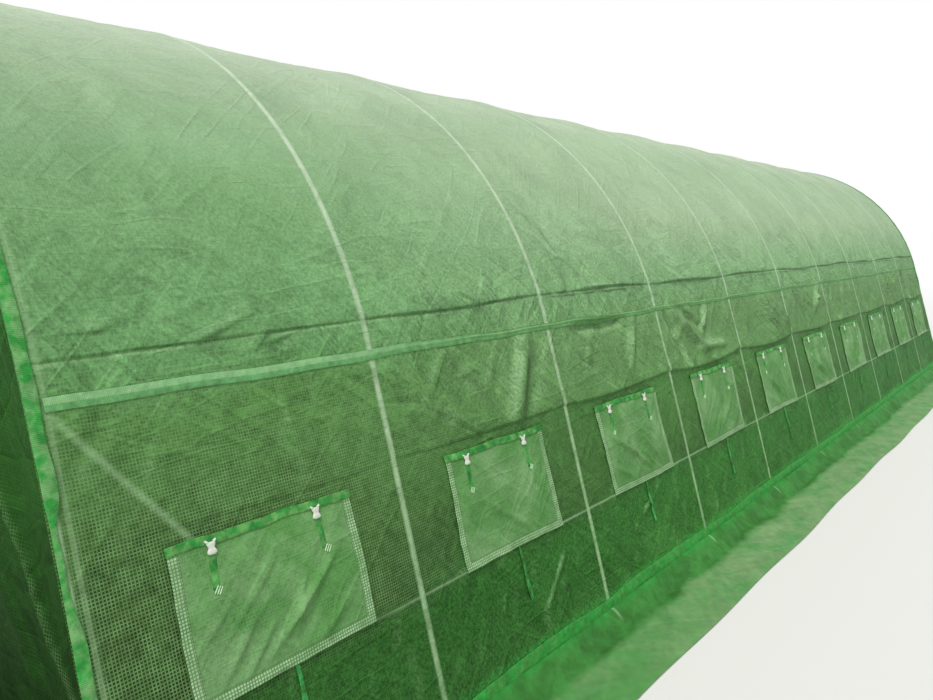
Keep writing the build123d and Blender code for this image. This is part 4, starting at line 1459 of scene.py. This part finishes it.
def zinc_material():
    """Hot dip galvanised steel tube. The eye gets small cloudy crystals and a dull brushed gloss."""
    material, tree = new_material("galvanised_steel")
    place = add(tree, "ShaderNodeTexCoord").node.outputs["Object"]
    spangle = add(tree, "ShaderNodeTexVoronoi", {"Vector": place, "Scale": 95.0}).node.outputs["Color"]
    tone = add(tree, RANGE, (add(tree, "ShaderNodeSeparateColor", (spangle,)), 0.0, 1.0, 0.86, 1.05))
    paint = add(tree, TONE, {"Value": tone, "Color": colours().zinc})
    face = add(tree, FACE, {
        "Base Color": paint, "Metallic": 1.0, "Roughness": cloudy(tree, 0.017, to_low=0.34, to_high=0.52)})
    add(tree, "ShaderNodeOutputMaterial", (face,))
    return material


# The operators: one for each piece or group of like pieces, and one for the stage

class PolytunnelRoof(bpy.types.Operator):
    """Make the roof's film: one sheet from waist seam to waist seam, on a grid of place and run, moved out of
    the arch by the film's lift at every point"""
    bl_idname = "polytunnel.roof"
    bl_label = "Roof film"

    def execute(self, context):
        piece = make_piece("roof_cover", roof_shape(), film_material(), ["roof_film"])
        return {"FINISHED"}


class PolytunnelSides(bpy.types.Operator):
    """Make the film of both side walls: a grid of place and run with the window openings left out"""
    bl_idname = "polytunnel.sides"
    bl_label = "Side film"

    def execute(self, context):
        material = bpy.data.materials["reinforced_polyethylene_film"]
        for left, side in SIDES:
            shape, nodes = side_shape(left), [f"side_film_{side}"]
            piece = make_piece(f"side_cover_{side}", shape, material, nodes)
        return {"FINISHED"}


class PolytunnelTapes(bpy.types.Operator):
    """Make the waist tapes, the folded bands near the ground and the trims round both ends: rounded bands
    carried over the film"""
    bl_idname = "polytunnel.tapes"
    bl_label = "Tapes and trims"

    def execute(self, context):
        c = colours()
        tape = woven_material("woven_waist_tape", c.tape, 0.3, comb=c.tape_edge, far_shaded=c.tape_far_shaded)
        make_piece("waist_tape_pair", both_sides(waist_tape()), tape, ["waist_tapes"])
        fold = woven_material("folded_polyethylene_band", c.foot_band, 0.3, c.skirt_fold)
        make_piece("foot_band_pair", both_sides(foot_band()), fold, ["foot_bands"])
        edge, trim = woven_material("woven_corner_trim", c.trim, 0.32, c.foot_band), corner_trim()
        for end in ENDS:
            make_piece(f"end_trim_{end}", at_end(trim, end), edge, [f"corner_trim_{end}"])
        return {"FINISHED"}


class PolytunnelWindows(bpy.types.Operator):
    """Make the window flaps and the nets behind them, one sheet for each window"""
    bl_idname = "polytunnel.windows"
    bl_label = "Window flaps and nets"

    def execute(self, context):
        flap, net = flap_material(), net_material()
        for left, side in SIDES:
            nodes = [f"window_flaps_{side}"]
            piece = make_piece(f"flaps_{side}", flap_shapes(left), flap, nodes)
            piece = make_piece(f"nets_{side}", net_shapes(left), net, [f"window_nets_{side}"])
        return {"FINISHED"}


class PolytunnelFastenings(bpy.types.Operator):
    """Make the bands, buckles, straps, stitches and tie ribbons of the windows on both sides"""
    bl_idname = "polytunnel.fastenings"
    bl_label = "Window fastenings"

    def execute(self, context):
        c = colours()
        band = woven_material("woven_flap_band", c.band, 0.4, c.flap)
        make_piece("flap_bands", flap_bands(), band, ["window_bands"])
        make_piece("buckles", buckles(), buckle_material(), ["window_buckles"])
        woven = woven_material("woven_ribbon", c.ribbon, 0.5, c.film_low)
        make_piece("tie_ribbons", tie_ribbons(), woven, ["window_ties"])
        make_piece("buckle_straps", straps(), band, [])
        stitch = woven_material("sewing_thread", c.hem, 0.2)
        make_piece("strap_stitches", strap_stitches(), stitch, [])
        return {"FINISHED"}


class PolytunnelSkirts(bpy.types.Operator):
    """Make the skirts: strips of film that leave the foot of the walls and lie in ripples on the ground"""
    bl_idname = "polytunnel.skirts"
    bl_label = "Ground skirts"

    def execute(self, context):
        material = skirt_material()
        for left, side in SIDES:
            shape, nodes = side_skirt(left), [f"skirt_{side}"]
            piece = make_piece(f"ground_skirt_{side}", shape, material, nodes)
        front, size = front_skirt(), 2 * (HALF_WIDTH - DOOR_HIGH.y - SEAT)
        for end in ENDS:
            shape, nodes = at_end(front, end), [f"skirt_{end}"]
            piece = make_piece(f"ground_skirt_{end}", shape, material, nodes)
        return {"FINISHED"}


class PolytunnelFrame(bpy.types.Operator):
    """Make the round hoops, purlins, braces and door frames: circles carried along straight and bent paths"""
    bl_idname = "polytunnel.frame"
    bl_label = "Tube frame"

    def execute(self, context):
        zinc = zinc_material()
        for number in range(BAYS + 1):
            make_piece(f"bow_{number:02}", hoop_tube(number), zinc, [f"hoop_{number:02}"])
        make_piece("ridge_tubes", purlin_tubes(RIDGE_RUN), zinc, ["ridge_purlin"])
        for name, node, run in (
                ("upper", "upper_purlins", HIGH_PURLIN_RUN), ("sill", "lower_purlins", LOW_PURLIN_RUN)):
            make_piece(f"{name}_tubes", both_sides(purlin_tubes(run)), zinc, [node])
        for name, node, shape in (
                ("brace", "braces", both_sides(brace_tube())), ("door", "door_frame", door_frame_tubes())):
            for end in ENDS:
                make_piece(f"{name}_tubes_{end}", at_end(shape, end), zinc, [f"{node}_{end}"])
        return {"FINISHED"}


class PolytunnelEnds(bpy.types.Operator):
    """Make the end walls, the rolled up front door, the closed back door and their zips"""
    bl_idname = "polytunnel.ends"
    bl_label = "End walls and doors"

    def execute(self, context):
        material = end_film_material()
        side, top = front_wall_side(), front_wall_top()
        for end, hoop in zip(ENDS, ("hoop_00", "hoop_10")):
            for name, shape in (("right", side), ("left", turned_over(side, 1)), ("over_door", top)):
                shape, nodes = at_end(shape, end), [f"{end}_wall_{name}"]
                piece = make_piece(f"{end}_film_{name}", shape, material, nodes)
        door = make_piece("front_door_roll", rolled_sheet(), material, ["front_door"])
        woven = bpy.data.materials["woven_ribbon"]
        make_piece("roll_ribbons", roll_ties(), woven, [])
        closed = at_end(back_door_sheet(), "back")
        door = make_piece("back_door_film", closed, material, ["back_door"])
        for end in ENDS:
            make_piece(f"zip_{end}", at_end(zip_tapes(end == "back"), end), woven, [])
        return {"FINISHED"}


FLOOR_RADIUS, FLOOR_DROP = 60, 0.002
LAMP_STRENGTH = 2.5
LAMP_SPREAD = math.radians(24)
LAMP_DIRECTION = (-0.42, -0.16, 0.89)
WORLD_STRENGTH = 0.42
CAMERA_PLACE = (-5.630, -3.374, 1.604)
CAMERA_HEADING, CAMERA_PITCH, CAMERA_ROLL = math.radians(39.714), math.radians(-9.145), 0.0137
CAMERA_LENS = 29.24


class PolytunnelStage(bpy.types.Operator):
    """Set the floor, the soft lamp, the white world and the camera at the photographed angle"""
    bl_idname = "polytunnel.stage"
    bl_label = "Studio stage"

    def execute(self, context):
        scene = context.scene
        scene.view_settings.view_transform = "Standard"

        # The floor is a disc of rings that keeps the shadow, and shows as white far away
        radius = np.linspace(0, 1, 12)[:, None] ** 2 * FLOOR_RADIUS
        angle = np.linspace(0, 2 * math.pi, 65)[None, :]
        points = stacked(radius * np.cos(angle), radius * np.sin(angle), -FLOOR_DROP)
        shape = surface(points, points[..., :2])
        mesh = bpy.data.meshes.new("floor")
        mesh.from_pydata(shape[0].tolist(), [], np.concatenate(shape[1]).tolist())
        floor = bpy.data.objects.new("floor", mesh)
        scene.collection.objects.link(floor)
        material, tree = new_material("studio_floor")
        face = add(tree, FACE, {"Base Color": colours().floor, "Roughness": 0.85})
        glow = add(tree, "ShaderNodeEmission", {"Color": (1, 1, 1), "Strength": 1.0})
        place = add(tree, "ShaderNodeTexCoord").node.outputs["Object"]
        distance = add(tree, "ShaderNodeVectorMath", (place,), operation="LENGTH")
        far = add(tree, RANGE, (distance, 7.0, 22.0, 0.0, 1.0))
        add(tree, "ShaderNodeOutputMaterial", (add(tree, "ShaderNodeMixShader", (far, face, glow)),))
        mesh.materials.append(material)

        world = bpy.data.worlds.new("soft_studio")
        scene.world = world
        world.use_nodes = True
        tree = world.node_tree
        tree.nodes.clear()
        rays = add(tree, "ShaderNodeLightPath").node.outputs
        shown = rays["Is Camera Ray"]
        for name in ("Is Glossy Ray", "Is Transmission Ray"):
            shown = add(tree, MATH, (shown, rays[name]), operation="MAXIMUM")
        soft = add(tree, "ShaderNodeBackground", ((1, 1, 1), WORLD_STRENGTH))
        white = add(tree, "ShaderNodeBackground", ((1, 1, 1), 1.0))
        add(tree, "ShaderNodeOutputWorld", (add(tree, "ShaderNodeMixShader", (shown, soft, white)),))

        # One wide soft lamp overhead, a little from behind, grazes the walls and brings out their folds
        lamp = bpy.data.lights.new("overhead", "SUN")
        lamp.energy, lamp.angle = LAMP_STRENGTH, LAMP_SPREAD
        holder = bpy.data.objects.new("overhead", lamp)
        holder.rotation_euler = Vector(LAMP_DIRECTION).to_track_quat("Z", "Y").to_euler()
        scene.collection.objects.link(holder)

        right = Vector((math.sin(CAMERA_HEADING), -math.cos(CAMERA_HEADING), 0))
        level = Vector((math.cos(CAMERA_HEADING), math.sin(CAMERA_HEADING), 0))
        ahead = math.cos(CAMERA_PITCH) * level + Vector((0, 0, math.sin(CAMERA_PITCH)))
        up = right.cross(ahead)
        side = math.cos(CAMERA_ROLL) * right + math.sin(CAMERA_ROLL) * up
        over = math.cos(CAMERA_ROLL) * up - math.sin(CAMERA_ROLL) * right
        lens = bpy.data.cameras.new("photo_view")
        lens.lens, lens.sensor_width, lens.sensor_fit = CAMERA_LENS, 36.0, "HORIZONTAL"
        lens.clip_start, lens.clip_end = 0.05, 200.0
        camera = bpy.data.objects.new("photo_view", lens)
        turned = Matrix((side, over, -ahead)).transposed().to_4x4()
        camera.matrix_world = Matrix.Translation(CAMERA_PLACE) @ turned
        scene.collection.objects.link(camera)
        scene.camera = camera
        return {"FINISHED"}


MAKERS = (PolytunnelRoof, PolytunnelSides, PolytunnelTapes, PolytunnelWindows, PolytunnelFastenings,
          PolytunnelSkirts, PolytunnelFrame, PolytunnelEnds, PolytunnelStage)


class PolytunnelPanel(bpy.types.Panel):
    """The tunnel's sizes, colours and makers"""
    bl_idname = "VIEW3D_PT_polytunnel"
    bl_label = "Polytunnel"
    bl_space_type = "VIEW_3D"
    bl_region_type = "UI"
    bl_category = "Polytunnel"

    def draw(self, context):
        for maker in MAKERS:
            self.layout.operator(maker.bl_idname)
        for group in (context.scene.tunnel_sizes, context.scene.tunnel_colours):
            box = self.layout.box()
            for name in group.bl_rna.properties.keys():
                if name not in ("rna_type", "name"):
                    box.prop(group, name)


CLASSES = (TunnelSizes, TunnelColours, *MAKERS, PolytunnelPanel)


def register():
    for kind in CLASSES:
        bpy.utils.register_class(kind)
    bpy.types.Scene.tunnel_sizes = bpy.props.PointerProperty(type=TunnelSizes)
    bpy.types.Scene.tunnel_colours = bpy.props.PointerProperty(type=TunnelColours)


def unregister():
    del bpy.types.Scene.tunnel_colours
    del bpy.types.Scene.tunnel_sizes
    for kind in reversed(CLASSES):
        bpy.utils.unregister_class(kind)


def main():
    register()
    for maker in MAKERS:
        group, name = maker.bl_idname.split(".")
        getattr(getattr(bpy.ops, group), name)()


if __name__ == "__main__":
    main()
